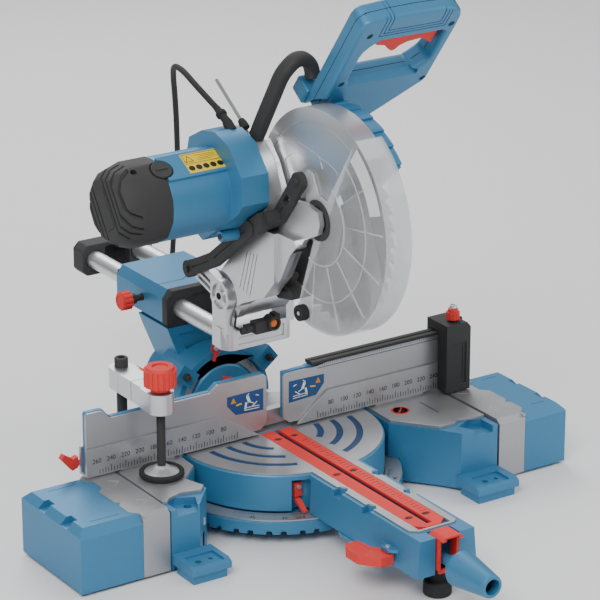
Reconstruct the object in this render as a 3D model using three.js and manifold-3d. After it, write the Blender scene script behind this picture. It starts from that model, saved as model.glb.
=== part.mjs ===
// Bench-top sliding compound mitre saw, dual bevel, with table extensions and a hold-down clamp.
// Millimetres, +Z up.  X runs along the fence, Y to the rear.  Origin: mitre pivot on the bench.
import * as THREE from 'three';
import { mergeVertices } from 'three/addons/utils/BufferGeometryUtils.js';
import Module from 'manifold-3d';

const wasm = await Module();
wasm.setup();

// ---------------------------------------------------------------- driving dimensions
const TABLE_HEIGHT = 84;          // bench to table top
const GAP = 0.35;                 // air between neighbouring solids
const TURNTABLE_R = 134;
const SCALE_R = 157;              // outer edge of the mitre scale ring
const ARM_HALF = 37;              // half width of the arm's top
const ARM_FRONT = -360;
const KERF_HALF = 22;             // half width of the red insert
const SLOT_HALF = 3.8;
const FENCE_TOP = 39;             // fixed fence, above the table
const FENCE_WALL = 3.6;
const PLATE_FRONT = 4;            // sliding fence plate, front and back faces
const PLATE_BACK = 14;
const WING_LEFT = -231.5;
const WING_RIGHT = 250.5;
const WING_FRONT = -125;
const WING_BACK = 21;
const EXT_LEFT_END = -354;
const EXT_RIGHT_END = 360;
const ROD_Y = [-98, -14];         // extension rods
const ROD_Z = -40;
const ROD_R = 7;
const TUBE_X = 35;                // slide tubes, each side of the blade plane
const TUBE_Z = 119;
const TUBE_R = 12;
const PIVOT = [56, 174];          // chop pivot, Y and Z above the table
const ARBOR = [-121, 318];
const BLADE_R = 127;
const TEETH = 40;
const MOTOR = [15, 333];
const MOTOR_R = 51.5;
const POST = [-189, 60];          // clamp post, X and Y
const PAD = [-191, -36];          // clamp screw, X and Y
const LINK_REAR = [108, 197];
const LINK_BEND = [-58, 308];
const LINK_FRONT = [-100, 363];
const CORD_R = 3.75;
const COIL = [130, 330];          // coil centre on the bench
const COIL_MEAN_R = 42;

// ---------------------------------------------------------------- materials
const paint = (color, roughness, metalness = 0) =>
  new THREE.MeshStandardMaterial({ color, roughness, metalness });
const BLUE = paint(0x135a8c, 0.42);
const SILVER = paint(0xb6b9bd, 0.4, 0.7);
const STEEL = paint(0xc9ccd0, 0.25, 0.9);
const BLACK = paint(0x1b1c1e, 0.6);
const RED = paint(0xd9261c, 0.42);
const CLEAR = paint(0xcfd6da, 0.15);
const RUBBER = paint(0x141414, 0.85);

// ---------------------------------------------------------------- shape helpers
function box(x0, x1, y0, y1, z0, z1) {
  const g = new THREE.BoxGeometry(Math.abs(x1 - x0), y1 - y0, z1 - z0);
  return g.translate((x0 + x1) / 2, (y0 + y1) / 2, (z0 + z1) / 2);
}

function outline(points, holes = []) {
  const shape = new THREE.Shape(points.map(([a, b]) => new THREE.Vector2(a, b)));
  for (const hole of holes) shape.holes.push(new THREE.Path(hole.map(([a, b]) => new THREE.Vector2(a, b))));
  return shape;
}

function extrude(points, depth, bevel = 0, holes = []) {
  return new THREE.ExtrudeGeometry(outline(points, holes), {
    depth: depth - 2 * bevel,
    bevelEnabled: bevel > 0,
    bevelThickness: bevel,
    bevelSize: bevel,
    bevelOffset: -bevel,
    bevelSegments: 1,
    curveSegments: 8,
  }).translate(0, 0, bevel);
}

const toYZ = new THREE.Matrix4().makeBasis(
  new THREE.Vector3(0, 1, 0), new THREE.Vector3(0, 0, 1), new THREE.Vector3(1, 0, 0));
const toXZ = new THREE.Matrix4().makeBasis(
  new THREE.Vector3(1, 0, 0), new THREE.Vector3(0, 0, 1), new THREE.Vector3(0, -1, 0));

// a (Y, Z) outline between two X values
const prismX = (points, x0, x1, bevel = 0, holes = []) =>
  extrude(points, x1 - x0, bevel, holes).applyMatrix4(toYZ).translate(x0, 0, 0);
// an (X, Z) outline between two Y values
const prismY = (points, y0, y1, bevel = 0, holes = []) =>
  extrude(points, y1 - y0, bevel, holes).applyMatrix4(toXZ).translate(0, y1, 0);
// an (X, Y) outline between two Z values
const prismZ = (points, z0, z1, bevel = 0, holes = []) =>
  extrude(points, z1 - z0, bevel, holes).translate(0, 0, z0);

function rodX(y, z, r, x0, x1, sides = 24, r1 = r) {
  const g = new THREE.CylinderGeometry(r1, r, x1 - x0, sides);
  return g.rotateZ(-Math.PI / 2).translate((x0 + x1) / 2, y, z);
}
function rodY(x, z, r, y0, y1, sides = 24, r1 = r) {
  return new THREE.CylinderGeometry(r1, r, y1 - y0, sides).translate(x, (y0 + y1) / 2, z);
}
function rodZ(x, y, r, z0, z1, sides = 24, r1 = r) {
  const g = new THREE.CylinderGeometry(r1, r, z1 - z0, sides);
  return g.rotateX(Math.PI / 2).translate(x, y, (z0 + z1) / 2);
}

const polar = (r, degrees, [a, b] = [0, 0]) => {
  const t = THREE.MathUtils.degToRad(degrees);
  return [a + r * Math.cos(t), b + r * Math.sin(t)];
};
const arc = (r, from, to, steps, centre) =>
  Array.from({ length: steps + 1 }, (_, i) => polar(r, from + (to - from) * i / steps, centre));
const sector = (r0, r1, from, to, steps, centre) =>
  [...arc(r1, from, to, steps, centre), ...arc(r0, to, from, steps, centre)];

function toSolid(geometry) {
  const bare = new THREE.BufferGeometry();
  bare.setAttribute('position', geometry.getAttribute('position'));
  if (geometry.index) bare.setIndex(geometry.index);
  const welded = mergeVertices(bare, 1e-4);
  return new wasm.Manifold(new wasm.Mesh({
    numProp: 3,
    vertProperties: new Float32Array(welded.getAttribute('position').array),
    triVerts: new Uint32Array(welded.index.array),
  }));
}

function toGeometry(solid) {
  const mesh = solid.getMesh();
  const geometry = new THREE.BufferGeometry();
  geometry.setAttribute('position', new THREE.BufferAttribute(mesh.vertProperties, 3));
  geometry.setIndex(new THREE.BufferAttribute(mesh.triVerts, 1));
  geometry.computeVertexNormals();
  return geometry;
}

// join the first list, then cut the second list out of it
function build(add, cut = []) {
  let solid = toSolid(add[0]);
  for (const piece of add.slice(1)) solid = solid.add(toSolid(piece));
  for (const piece of cut) solid = solid.subtract(toSolid(piece));
  return toGeometry(solid);
}

const bench = new THREE.Group();
const machine = new THREE.Group();
machine.position.z = TABLE_HEIGHT;
bench.add(machine);

function place(name, geometry, material, parent = machine) {
  const mesh = new THREE.Mesh(geometry, material);
  mesh.name = name;
  parent.add(mesh);
  return mesh;
}

// ---------------------------------------------------------------- base
function baseRing() {
  const floor = rodZ(0, 0, SCALE_R, -62, -52.4, 64);
  const wall = rodZ(0, 0, SCALE_R, -71, -61, 64);
  const boss = rodZ(0, 0, 32, -TABLE_HEIGHT, -61, 32);
  const cuts = [rodZ(0, 0, SCALE_R - 16, -72, -62, 48)];
  for (let angle = -150; angle <= -30; angle += 15) {
    const notch = prismX([[-7, -73], [7, -73], [4.5, -66], [-4.5, -66]], 130, 170);
    cuts.push(notch.rotateZ(THREE.MathUtils.degToRad(angle)));
  }
  const shell = toGeometry(cuts.reduce(
    (solid, cut) => solid.subtract(toSolid(cut)), toSolid(floor).add(toSolid(wall))));
  return build([shell, boss]);
}

function wing(side) {
  const left = side < 0;
  const outer = left ? WING_LEFT : WING_RIGHT;
  const inner = left
    ? [[-138, WING_BACK], [-141, -30], [-170, -58], [-160, -88], [-192, WING_FRONT]]
    : [[138, WING_BACK], [136, -48], [178, -100], [194, WING_FRONT]];
  const top = [[outer, WING_BACK], ...inner, [outer, WING_FRONT]];
  const foot = left ? [outer, -177] : [187, outer];
  const tail = left ? [-300, -150] : [150, 300];
  const add = [
    prismZ(top, -80, 0),
    box(foot[0], foot[1], -172, WING_FRONT + 1, -72, -60),
    box(foot[0] + 4, foot[1] - 4, -168, -130, -TABLE_HEIGHT, -71),
    box(tail[0], tail[1], WING_BACK - 1, 66, -80, -50),
    rodZ(tail[0] + 16 * (left ? 1 : 17 / 2), 46, 12, -TABLE_HEIGHT, -79),
  ];
  const cut = [
    rodZ(0, 0, SCALE_R + 0.6, -90, -49.8, 64),
    rodZ(0, 0, TURNTABLE_R + 3, -49.9, 5, 64),
    box(Math.min(outer * 0.97, outer * 0.72), Math.max(outer * 0.97, outer * 0.72), -112, 8, -81, -52),
    rodZ((foot[0] + foot[1]) / 2, -155, 4.5, -90, -50, 16),
  ];
  for (const y of ROD_Y) {
    cut.push(left ? rodX(y, ROD_Z, ROD_R + 0.5, outer - 1, -150) : rodX(y, ROD_Z, ROD_R + 0.5, 150, outer + 1));
  }
  add.push(rodZ(left ? POST[0] : -POST[0], POST[1], 14, -79, 15));
  cut.push(rodZ(left ? POST[0] : -POST[0], POST[1], 6.9, -49, 20));
  return build(add, cut);
}

function mitreScale() {
  return prismZ(sector(TURNTABLE_R + 1, SCALE_R - 0.5, 205, 335, 30), -52, -50.2);
}

place('base_ring', baseRing(), BLUE);
place('base_wing_left', wing(-1), BLUE);
place('base_wing_right', wing(1), BLUE);
place('mitre_scale', mitreScale(), SILVER);

// ---------------------------------------------------------------- table extensions
function extensionTable(side) {
  const near = side < 0 ? WING_LEFT - 1.8 : WING_RIGHT + 3.2;
  const far = side < 0 ? -269.6 : 294;
  const [x0, x1] = [Math.min(near, far), Math.max(near, far)];
  const add = [box(x0, x1, WING_FRONT, 19, -80, 0)];
  for (const y of ROD_Y) {
    add.push(side < 0 ? rodX(y, ROD_Z, ROD_R, near - 5, -172) : rodX(y, ROD_Z, ROD_R, 196, near + 5));
  }
  return build(add, [box(x0 + 5, x1 - 5, -118, 12, -81, -52)]);
}

function extensionEnd(side) {
  const near = side < 0 ? -270 : 294.4;
  const far = side < 0 ? EXT_LEFT_END : EXT_RIGHT_END;
  const profile = [[-125, -80], [-125, -10], [-116, 0], [10, 0], [19, -10], [19, -80]];
  const [x0, x1] = [Math.min(near, far), Math.max(near, far)];
  const add = [prismX(profile, x0, x1)];
  const slope = side < 0
    ? [[far - 1, -9], [far + 9, 1], [far - 1, 1]]
    : [[far + 1, -9], [far + 1, 1], [far - 9, 1]];
  const cut = [prismY(slope, -140, 30), box(x0 + 6, x1 - 6, -117, 11, -81, -30)];
  for (const y of [-92, -38]) cut.push(box(far + side * 1, far - side * 14, y, y + 16, -5, 1));
  return build(add, cut);
}

for (const [side, word] of [[-1, 'left'], [1, 'right']]) {
  place(`extension_table_${word}`, extensionTable(side), SILVER);
  place(`extension_end_${word}`, extensionEnd(side), BLUE);
}

// ---------------------------------------------------------------- fences
function lowerFence() {
  const left = [[-274, 3], [-28, 3], [-85, FENCE_TOP], [-274, FENCE_TOP]];
  const right = [[30, 3], [251, 3], [251, FENCE_TOP], [75, FENCE_TOP]];
  const rearLeft = [[-274, 3], [-60, 3], [-72, FENCE_TOP], [-274, FENCE_TOP]];
  const rearRight = [[60, 3], [251, 3], [251, FENCE_TOP], [72, FENCE_TOP]];
  const rear = PLATE_BACK + 0.4;
  return build([
    prismY(left, 0, FENCE_WALL),
    prismY(right, 0, FENCE_WALL),
    prismY(rearLeft, rear, rear + 4),
    prismY(rearRight, rear, rear + 4),
    box(-274, -70, 1, rear + 2, 3, 6),
    box(70, 251, 1, rear + 2, 3, 6),
    box(-225, -150, 2, rear + 3, GAP, 4),
    box(150, 225, 2, rear + 3, GAP, 4),
    box(-78, 78, rear + 3, rear + 14, 4, 24),
  ]);
}

function upperFenceLeft() {
  const plate = [[-272, 6.4], [-23, 6.4], [-14, 14], [-14, 78], [-17, 80.5], [-86, 80.5],
    [-97, 72], [-240, 72], [-251, 84], [-272, 84]];
  return prismY(plate, PLATE_FRONT, PLATE_BACK);
}

function upperFenceRight() {
  const plate = [[11, 14], [20, 6.4], [252, 6.4], [252, 77.5], [30, 77.5], [11, 72]];
  const rail = [[0.5, 77], [17.5, 77], [17.5, 81.4], [0.5, 81.4]];
  return build([prismY(plate, PLATE_FRONT, PLATE_BACK), prismX(rail, 52, 252)]);
}

function fenceLock(side) {
  const points = [[275, 11], [283, 8], [298, 26], [294, 31], [282, 23], [275, 25]]
    .map(([x, z]) => [side < 0 ? -x : x - 23, z]);
  return prismY(side < 0 ? points.reverse() : points, 19, 27);
}

function stopBlock() {
  return build([
    box(246, 284, -20, -GAP, 2, 95),
    box(246, 284, -1, 24, 82, 95),
    box(246, 284, 18.2, 24, 70, 83),
  ], [box(252, 278, -21, -16, 12, 70)]);
}

place('lower_fence', lowerFence(), SILVER);
place('upper_fence_left', upperFenceLeft(), SILVER);
place('upper_fence_right', upperFenceRight(), SILVER);
place('fence_lock_left', fenceLock(-1), RED);
place('fence_lock_right', fenceLock(1), RED);
place('stop_block', stopBlock(), BLACK);
place('stop_knob', build([rodZ(265, -6, 9, 98, 112), rodZ(265, -6, 4, 95.4, 99)]), RED);

// ---------------------------------------------------------------- hold-down clamp
function clampArm() {
  const half = 16;
  const back = arc(half, 0, 180, 8, POST);
  const front = arc(half + 1, 180, 360, 8, PAD);
  return build([prismZ([...back, ...front], 84, 110, 2)], [
    rodZ(...POST, 6.9, 80, 115),
    rodZ(...PAD, 5.9, 80, 115),
  ]);
}

place('clamp_post', rodZ(...POST, 6.5, -48, 122, 20), BLACK);
place('clamp_arm', clampArm(), SILVER);
place('clamp_wing_screw', build([
  rodX(POST[1], 97, 3.5, -172.6, -163),
  box(-166, -159, POST[1] - 12, POST[1] + 12, 94, 100),
]), RED);
place('clamp_screw', build([
  rodZ(...PAD, 5.5, 15, 114, 20),
  rodZ(...PAD, 9, 110.5, 116, 20),
  rodZ(...PAD, 20, 115, 143, 32),
]), BLACK);
place('clamp_pad', build([
  rodZ(...PAD, 27, 1, 7, 32),
  rodZ(...PAD, 24, 6.5, 14.6, 32, 8),
]), SILVER);

// ---------------------------------------------------------------- turntable with its arm
function turntable() {
  const armProfile = [[-43, -49], [43, -49], [ARM_HALF, 0], [-ARM_HALF, 0]];
  const add = [
    rodZ(0, 0, TURNTABLE_R, -48, 0, 80),
    rodZ(0, 0, 60, -52, -47, 40),
    prismY(armProfile, ARM_FRONT, -90),
    box(-45, 45, 100, 125.6, -49.6, -6),
  ];
  const under = toSolid(rodZ(0, 0, 122, -55, -16, 48)).subtract(toSolid(rodZ(0, 0, 60, -60, -10, 40)));
  const cut = [
    toGeometry(under),
    box(-33, 33, -322, -110, -56, -16),
    box(-KERF_HALF - 0.4, KERF_HALF + 0.4, -334, 6, -4, 1),
    box(-9, 9, -323, 5, -17, -3),
    box(-17, 17, ARM_FRONT - 1, -341, -31, 1),
    box(-64, 64, 125.6, 140, -60, 2),
    rodY(0, -34, 7.6, ARM_FRONT - 1, -342),
    rodZ(-47.5, -125, 12, -60, -8, 20),
  ];
  for (const [x, y] of [[-33, -190], [-33, -250], [33, -172], [33, -238]]) cut.push(rodZ(x, y, 9, -9, 1, 6));
  for (const r of [58, 82, 107]) {
    for (const [from, to] of [[190, 270 - Math.asin(36 / r) * 57.3], [270 + Math.asin(36 / r) * 57.3, 350]]) {
      cut.push(prismZ(sector(r - 9, r, from, to, 12), -1.5, 1));
    }
  }
  return build(add, cut);
}

function kerfInsert() {
  const h = KERF_HALF;
  const plate = (slot) => [[-h, 5], [-h, -322], [-10, -333], [10, -333], [h, -322], [h, 5],
    [slot, 5], [slot, -323], [-slot, -323], [-slot, 5]];
  // wider underneath, where the tilted blade passes
  return build([prismZ(plate(SLOT_HALF), -1.9, -0.2), prismZ(plate(SLOT_HALF + 2.6), -3.6, -1.8)]);
}

function bevelHub() {
  return build([
    rodY(0, 0, 60.4, 132, 158, 48),
    rodY(0, 0, 49, 126, 133, 40),
    prismY(sector(44, 60, -8, 188, 28), 129.8, 133),
  ], [
    box(-80, 80, 100, 170, -90, -49.6),
    rodY(4, 30, 6.5, 120, 133, 16),
  ]);
}

place('turntable', turntable(), BLUE);
place('kerf_insert', kerfInsert(), RED);
place('mitre_pointer', prismX(
  [[-114, -20], [-116.2, -20], [-116.2, -36], [-134, -46.8], [-134, -48.6], [-114, -38.5]], -51, -44), RED);
place('arm_foot', build([rodZ(0, -342, 17, -TABLE_HEIGHT, -66), rodZ(0, -342, 9, -67, -49.4)]), RUBBER);
place('mitre_knob', build([
  rodY(0, -34, 7, -386, -343, 20),
  rodY(0, -34, 14, -448, -385, 32, 22.5),
], [rodY(0, -34, 9, -449, -440, 20)]), BLUE);
place('detent_lever', build([
  box(-15, 15, -371, -345, -3, 0.4),
  box(-15, -12, -358, -348, -24, -2),
  box(12, 15, -358, -348, -24, -2),
]), RED);
place('cam_lever', build([
  prismZ([[-47, -316], [-47, -300], [-58, -286], [-66, -262], [-80, -266], [-80, -298], [-62, -314]], -44, -32),
]), RED);
place('bevel_hub', bevelHub(), BLUE);

// ---------------------------------------------------------------- bevel arm and slide housing
function bevelArm() {
  const arm = [[-56, 94.6], [-30, 20], [30, 20], [56, 94.6]];
  const stop = (angle) => {
    const block = box(66, 90, -30, 30, -11, 11).translate(0, 0, 0);
    const turned = block.rotateY(THREE.MathUtils.degToRad(-angle));
    return turned.translate(0, 148, 0);
  };
  const cover = prismY(sector(60.9, 69, -1, 181, 32), 128, 159);
  return build([
    rodY(0, 0, 69, 158.4, 200, 48),
    rodY(0, 0, 45, 199, 250, 32),
    prismY(arm, 172, 245),
    cover,
    stop(38),
    stop(142),
  ]);
}

const housingProfile = [[-56, 99], [-50, 95], [50, 95], [56, 99], [56, 131], [47, 143], [-47, 143], [-56, 131]];
const tubeBores = (y0, y1, r) => [-TUBE_X, TUBE_X].map((x) => rodY(x, TUBE_Z, r, y0, y1));

place('bevel_arm', bevelArm(), BLUE);
place('slide_housing', build([prismY(housingProfile, 183, 300)], [
  ...tubeBores(180, 310, TUBE_R + 0.4),
  rodX(235, TUBE_Z, 5, -60, -50, 16),
]), BLUE);
place('bearing_cap', build([
  prismY(housingProfile.map(([x, z]) => [x * 1.03, z > TUBE_Z ? z + 1.5 : z]), 171, 182.6, 2),
], tubeBores(165, 190, TUBE_R + 0.4)), BLACK);
place('slide_lock_knob', build([
  rodX(235, TUBE_Z, 4.5, -73, -51, 16),
  rodX(235, TUBE_Z, 12.5, -89, -72, 24),
]), RED);
place('bevel_pointer', prismX([[127.6, 74], [125.6, 74], [125.6, 56], [127.6, 56]], -8, 2), RED);

// ---------------------------------------------------------------- carriage
function frontBridge() {
  const bar = [[-44, 38], [40, 38], [50, 48], [50, 73], [-50, 73], [-50, 44]];
  const ear = (x0, x1) => [box(x0, x1, 38, 73, 120, PIVOT[1]), rodX(...PIVOT, 21, x0, x1, 32)];
  const bracket = [[64, 160], [74, 160], [120, 190], [116, 204], [102, 208], [60, 194]];
  return build([
    prismZ(bar, 105, 134, 3),
    ...ear(-50, -38),
    ...ear(38, 50),
    prismX(bracket, -50, -40),
    rodX(...LINK_REAR, 4, -54, -49, 16),
  ], [...tubeBores(44, 80, TUBE_R + 0.4)]);
}

function rearBridge() {
  const plate = [[-54, 104], [-47, 97], [47, 97], [54, 104], [54, 132], [46, 140], [-46, 140], [-54, 132]];
  return build([prismY(plate, 393, 420)], [
    ...tubeBores(390, 406, TUBE_R + 0.4),
    box(-19, 19, 390, 414, 103, 134),
  ]);
}

for (const [side, word] of [[-1, 'left'], [1, 'right']]) {
  place(`slide_tube_${word}`, rodY(side * TUBE_X, TUBE_Z, TUBE_R, 45, 405, 24), STEEL);
}
place('front_bridge', frontBridge(), SILVER);
place('rear_bridge', rearBridge(), BLACK);
place('line_light', build([
  box(-20, 14, 21, 37.5, 126, 142),
  rodY(8, 138, 9, 18, 33, 20),
]), BLACK);

// ---------------------------------------------------------------- head
function headCasting() {
  const arm = [[PIVOT[0] - 4, 149], [14, 176], [-37, 199], [-44, 206], [-44, 282], [-20, 285], [12, 262], [44, 226],
    [PIVOT[0] + 10, 200]];
  const web = [[50, 215], [20, 195], [-37, 200], [-66, 231], [-86, 267], [-104, 290], [-138, 300], [-143, 318],
    [-136, 334], [-104, 336], [-62, 330], [-40, 370], [-20, 392], [15, 398], [60, 380], [75, 320]];
  return build([
    rodX(...PIVOT, 30, -37.5, 37.5, 36),
    prismX(arm, -37, -22),
    prismX(web, -29.5, -22),
    rodX(...MOTOR, 68, -49.6, -26, 40),
    rodX(...ARBOR, 17, -29, -5, 24),
    box(-23, -17.9, -28, 4, 256, 326),
  ]);
}

function upperGuard() {
  const span = [-36, 133];
  const solid = toSolid(prismX([ARBOR, ...arc(135, ...span, 44, ARBOR)], -17.5, 11.5));
  const inner = toSolid(prismX([polar(8, 46.5 + 180, ARBOR), ...arc(132, span[0] - 14, span[1] + 14, 44, ARBOR)], -15, 9));
  const hub = toSolid(rodX(...ARBOR, 30, -20, 15, 32));
  return toGeometry(solid.subtract(inner).subtract(hub));
}

// the D handle lies in a tilted plane: local x is X, local y runs up its arms, local z leaves its front face
const HANDLE_FRAME = new THREE.Matrix4().makeBasis(
  new THREE.Vector3(1, 0, 0), new THREE.Vector3(0, -0.6, 0.8), new THREE.Vector3(0, -0.8, -0.6),
).setPosition(0, -175.5, 563);
const HANDLE_DEPTH = 30;

function handle() {
  const frame = [[5, -176], [5, -9], [14, 3], [45, 6], [85, 7], [122, 5], [141, 0], [149, -10], [151, -24],
    [151, -128], [147, -136], [92, -187], [60, -206], [34, -206], [20, -176]];
  const loop = [[27, -108], [27, -58], [32, -48], [41, -38], [137, -38], [137, -92], [121, -108]];
  const body = toSolid(prismZ(frame, -HANDLE_DEPTH, 0, 5));
  const foot = toSolid(box(1, 26, -174, -150, -52, -26));
  const shell = body.add(foot)
    .subtract(toSolid(prismZ(loop, -40, 10)))
    .subtract(toSolid(box(44.5, 134.5, -40, -20, -23, -6)))
    .subtract(toSolid(rodZ(15.5, -82, 5.5, -31, -16, 20)));
  const tilted = toGeometry(shell).applyMatrix4(HANDLE_FRAME);
  const cover = [];
  for (let k = 0; k < 6; k++) {
    cover.push(...arc(134 - 2.4 * k, 72 + 11 * k, 82 + 11 * k, 3, ARBOR));
  }
  cover.push(...arc(60, 137, 62, 10, ARBOR));
  const joined = toSolid(tilted)
    .subtract(toSolid(rodX(...ARBOR, 141, -40, 16.4, 96)))
    .add(toSolid(prismX(cover, 16.6, 36)))
    .add(toSolid(prismX(sector(64, 106, 66, 128, 8, ARBOR), 11.9, 20)));
  return toGeometry(joined);
}

function trigger() {
  const pull = [[46, -28], [46, -53], [62, -57], [77, -71], [84, -66], [92, -58], [114, -55], [128, -66], [133, -66],
    [133, -28]];
  return prismZ(pull, -21.5, -7.5).applyMatrix4(HANDLE_FRAME);
}

function rodAlong(from, to, r, r1 = r, sides = 16) {
  const a = new THREE.Vector3(...from);
  const b = new THREE.Vector3(...to);
  const direction = b.clone().sub(a);
  const g = new THREE.CylinderGeometry(r1, r, direction.length(), sides);
  const turn = new THREE.Quaternion().setFromUnitVectors(new THREE.Vector3(0, 1, 0), direction.clone().normalize());
  return g.applyQuaternion(turn).translate(...a.add(b).multiplyScalar(0.5).toArray());
}

function sweep(points, section, steps) {
  const path = new THREE.CatmullRomCurve3(points.map((p) => new THREE.Vector3(...p)));
  return new THREE.ExtrudeGeometry(outline(section), { steps, bevelEnabled: false, extrudePath: path });
}

const ringSection = (r, sides) => Array.from({ length: sides }, (_, i) => polar(r, 360 * i / sides));
const slabSection = (a, b) => [[-a, -b * 0.5], [-a * 0.6, -b], [a * 0.6, -b], [a, -b * 0.5], [a, b * 0.5],
  [a * 0.6, b], [-a * 0.6, b], [-a, b * 0.5]];

function motorHousing() {
  const flange = [[50, 270], [62, 300], [72, 345], [60, 386], [30, 402], [0, 407], [-30, 397], [-58, 365],
    [-60, 330], [-50, 317], [31, 262]];
  const add = [
    rodX(...MOTOR, MOTOR_R, -168, -60, 48),
    prismX(flange.reverse(), -88, -50, 2),
  ];
  const facet = box(-178, -84, -18, 18, 40, MOTOR_R + 1.5);
  facet.rotateX(THREE.MathUtils.degToRad(30)).translate(0, ...MOTOR);
  add.push(facet);
  const cap = rodX(...MOTOR, 60, -190, -168.4);
  const seat = rodZ(-169, 0, 15, MOTOR_R - 6, MOTOR_R + 4);
  seat.rotateX(THREE.MathUtils.degToRad(30)).translate(0, ...MOTOR);
  return build(add, [cap, seat]);
}

function motorCap() {
  const seat = rodZ(-169, 0, 15.4, MOTOR_R - 8, MOTOR_R + 6);
  seat.rotateX(THREE.MathUtils.degToRad(30)).translate(0, ...MOTOR);
  return build([
    rodX(...MOTOR, MOTOR_R + 0.5, -206, -168.8, 48),
    rodX(...MOTOR, 38, -232, -205.5, 48, MOTOR_R + 0.5),
  ], [seat]);
}

function brushCap() {
  const cap = rodZ(-169, 0, 14, MOTOR_R - 5, MOTOR_R + 1.6);
  return cap.rotateX(THREE.MathUtils.degToRad(30)).translate(0, ...MOTOR);
}

function dustChute() {
  const profile = [[-62, 206], [-58, 197], [-28, 191], [-3, 199], [12, 212], [8, 232], [-18, 236], [-40, 214]];
  return prismX(profile, -17, 12);
}

place('head_casting', headCasting(), SILVER);
place('upper_guard', upperGuard(), SILVER);
place('handle', handle(), BLUE);
place('carry_handle', sweep([[-37, -14, 399], [-34, -34, 440], [-27, -56, 482], [-14, -62, 499], [2, -58, 495],
  [12.5, -57, 480], [13, -57.5, 472.5]], slabSection(11, 9), 18), BLACK);
place('motor_housing', motorHousing(), BLUE);
place('motor_cap', motorCap(), BLACK);
place('brush_cap', brushCap(), BLACK);
place('cord_gland', rodAlong([-62, 12, 411.5], [-62, 38, 423.5], 7, 5), RUBBER);
place('hex_key', build([
  rodAlong([-42, 8, 406], [-42, 70, 447.7], 2.3, 2.3, 10),
  rodAlong([-42, 8, 406], [-42, 15, 410.7], 5.5),
]), STEEL);
place('dust_chute', dustChute(), BLACK);
place('trigger', trigger(), RED);
place('lock_button', rodZ(15.5, -82, 5, -33, -20.5, 20).applyMatrix4(HANDLE_FRAME), RED);

// ---------------------------------------------------------------- blade, moving guard, link
function sawBlade() {
  const points = [];
  for (let i = 0; i < TEETH; i++) {
    const a = 360 * i / TEETH;
    points.push(polar(BLADE_R, a, ARBOR), polar(BLADE_R - 9, a + 1.8, ARBOR), polar(BLADE_R - 6, a + 5.4, ARBOR));
  }
  return build([
    prismX(points, -1.2, 1.2),
    rodX(...ARBOR, 24, -4.4, 5, 28),
    rodX(...ARBOR, 9, 4, 8.4, 6),
  ]);
}

function lowerGuard() {
  const span = [123, 290];
  return build([
    prismX(sector(28, 140, ...span, 36, ARBOR), -20.8, -18.6),
    prismX(sector(137, 140, ...span, 40, ARBOR), -20.8, 15.5),
    prismX(sector(112, 140, ...span, 36, ARBOR), 13.4, 15.5),
    rodX(...ARBOR, 31, -20.8, -18.6, 36),
    prismX([[-108, 372], [-96, 374], [-88, 362], [-98, 325], [-125, 340]], -20.8, -18.6),
  ], [rodX(...ARBOR, 17.6, -30, -10, 32)]);
}

function guardLink() {
  const strip = ([y0, z0], [y1, z1], half, x0, x1) => {
    const n = new THREE.Vector2(-(z1 - z0), y1 - y0).normalize().multiplyScalar(half);
    return prismX([[y0 - n.x, z0 - n.y], [y1 - n.x, z1 - n.y], [y1 + n.x, z1 + n.y], [y0 + n.x, z0 + n.y]], x0, x1);
  };
  return build([
    rodX(...LINK_REAR, 11, -64, -54.4),
    strip(LINK_REAR, LINK_BEND, 9, -64, -54.4),
    rodX(...LINK_BEND, 9, -64, -30),
    strip(LINK_BEND, LINK_FRONT, 9, -38, -30),
    rodX(...LINK_FRONT, 11, -38, -30),
  ]);
}

place('saw_blade', sawBlade(), STEEL);
place('lower_guard', lowerGuard(), CLEAR);
place('guard_roller', rodX(-96, 195.5, 10, -34, -21.2, 24), RUBBER);
place('guard_link', guardLink(), BLACK);

// ---------------------------------------------------------------- mains cord, in four stretches
const CORD = [
  [[-62, 38.1, 507.6], [-62, 62, 516], [-61, 90, 525], [-56, 122, 531], [-46, 156, 528], [-30, 190, 515],
    [-10, 224, 491], [12, 258, 456], [34, 292, 412], [54, 324, 360]],
  [[54, 324, 360], [66, 344, 325], [77, 365, 286], [86, 386, 240]],
  [[86, 386, 240], [92, 402, 200], [96, 414, 155], [98, 422, 110]],
  [[98, 422, 110], [98, 425, 78], [95, 425, 46], [90, 418, 22], [85, 404, 8], [82, 388, 4], [80.6, 373, 3.8],
    [80.5, 359.5, 3.8]],
];

function cordTube(index) {
  const points = CORD[index].map((p) => [...p]);
  const trim = (end, next) => {
    const direction = new THREE.Vector3(...next).sub(new THREE.Vector3(...end)).normalize();
    return new THREE.Vector3(...end).addScaledVector(direction, 0.25).toArray();
  };
  const last = points.length - 1;
  points[0] = trim(points[0], points[1]);
  points[last] = trim(points[last], points[last - 1]);
  return sweep(points, ringSection(CORD_R, 8), [36, 10, 10, 16][index]);
}

['cord_head', 'cord_slide', 'cord_bevel', 'cord_floor'].forEach((name, index) => {
  place(name, cordTube(index), RUBBER, bench);
});

function coil() {
  const inner = COIL_MEAN_R - 3 * CORD_R;
  const outer = COIL_MEAN_R + 3 * CORD_R + 0.4;
  const profile = [[inner, 0.1], [outer, 0.1], [outer, 15], [inner, 15], [inner, 0.1]]
    .map(([r, z]) => new THREE.Vector2(r, z));
  return new THREE.LatheGeometry(profile, 32).rotateX(Math.PI / 2).translate(...COIL, 0);
}

function plug() {
  const x = COIL[0] + COIL_MEAN_R + 2 * CORD_R;
  const y = COIL[1] + 31;
  return build([
    rodAlong([x, y, 12], [x, y + 34, 18.6], 4.6, 7),
    rodY(x, 18.6, 14, y + 32, y + 40, 24, 18.5),
    rodY(x, 18.6, 18.5, y + 39.5, y + 70, 24),
    rodY(x - 9.5, 18.6, 2.4, y + 69, y + 88, 10),
    rodY(x + 9.5, 18.6, 2.4, y + 69, y + 88, 10),
  ]);
}

place('cord_coil', coil(), RUBBER, bench);
place('plug', plug(), RUBBER, bench);

export default bench;
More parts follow.
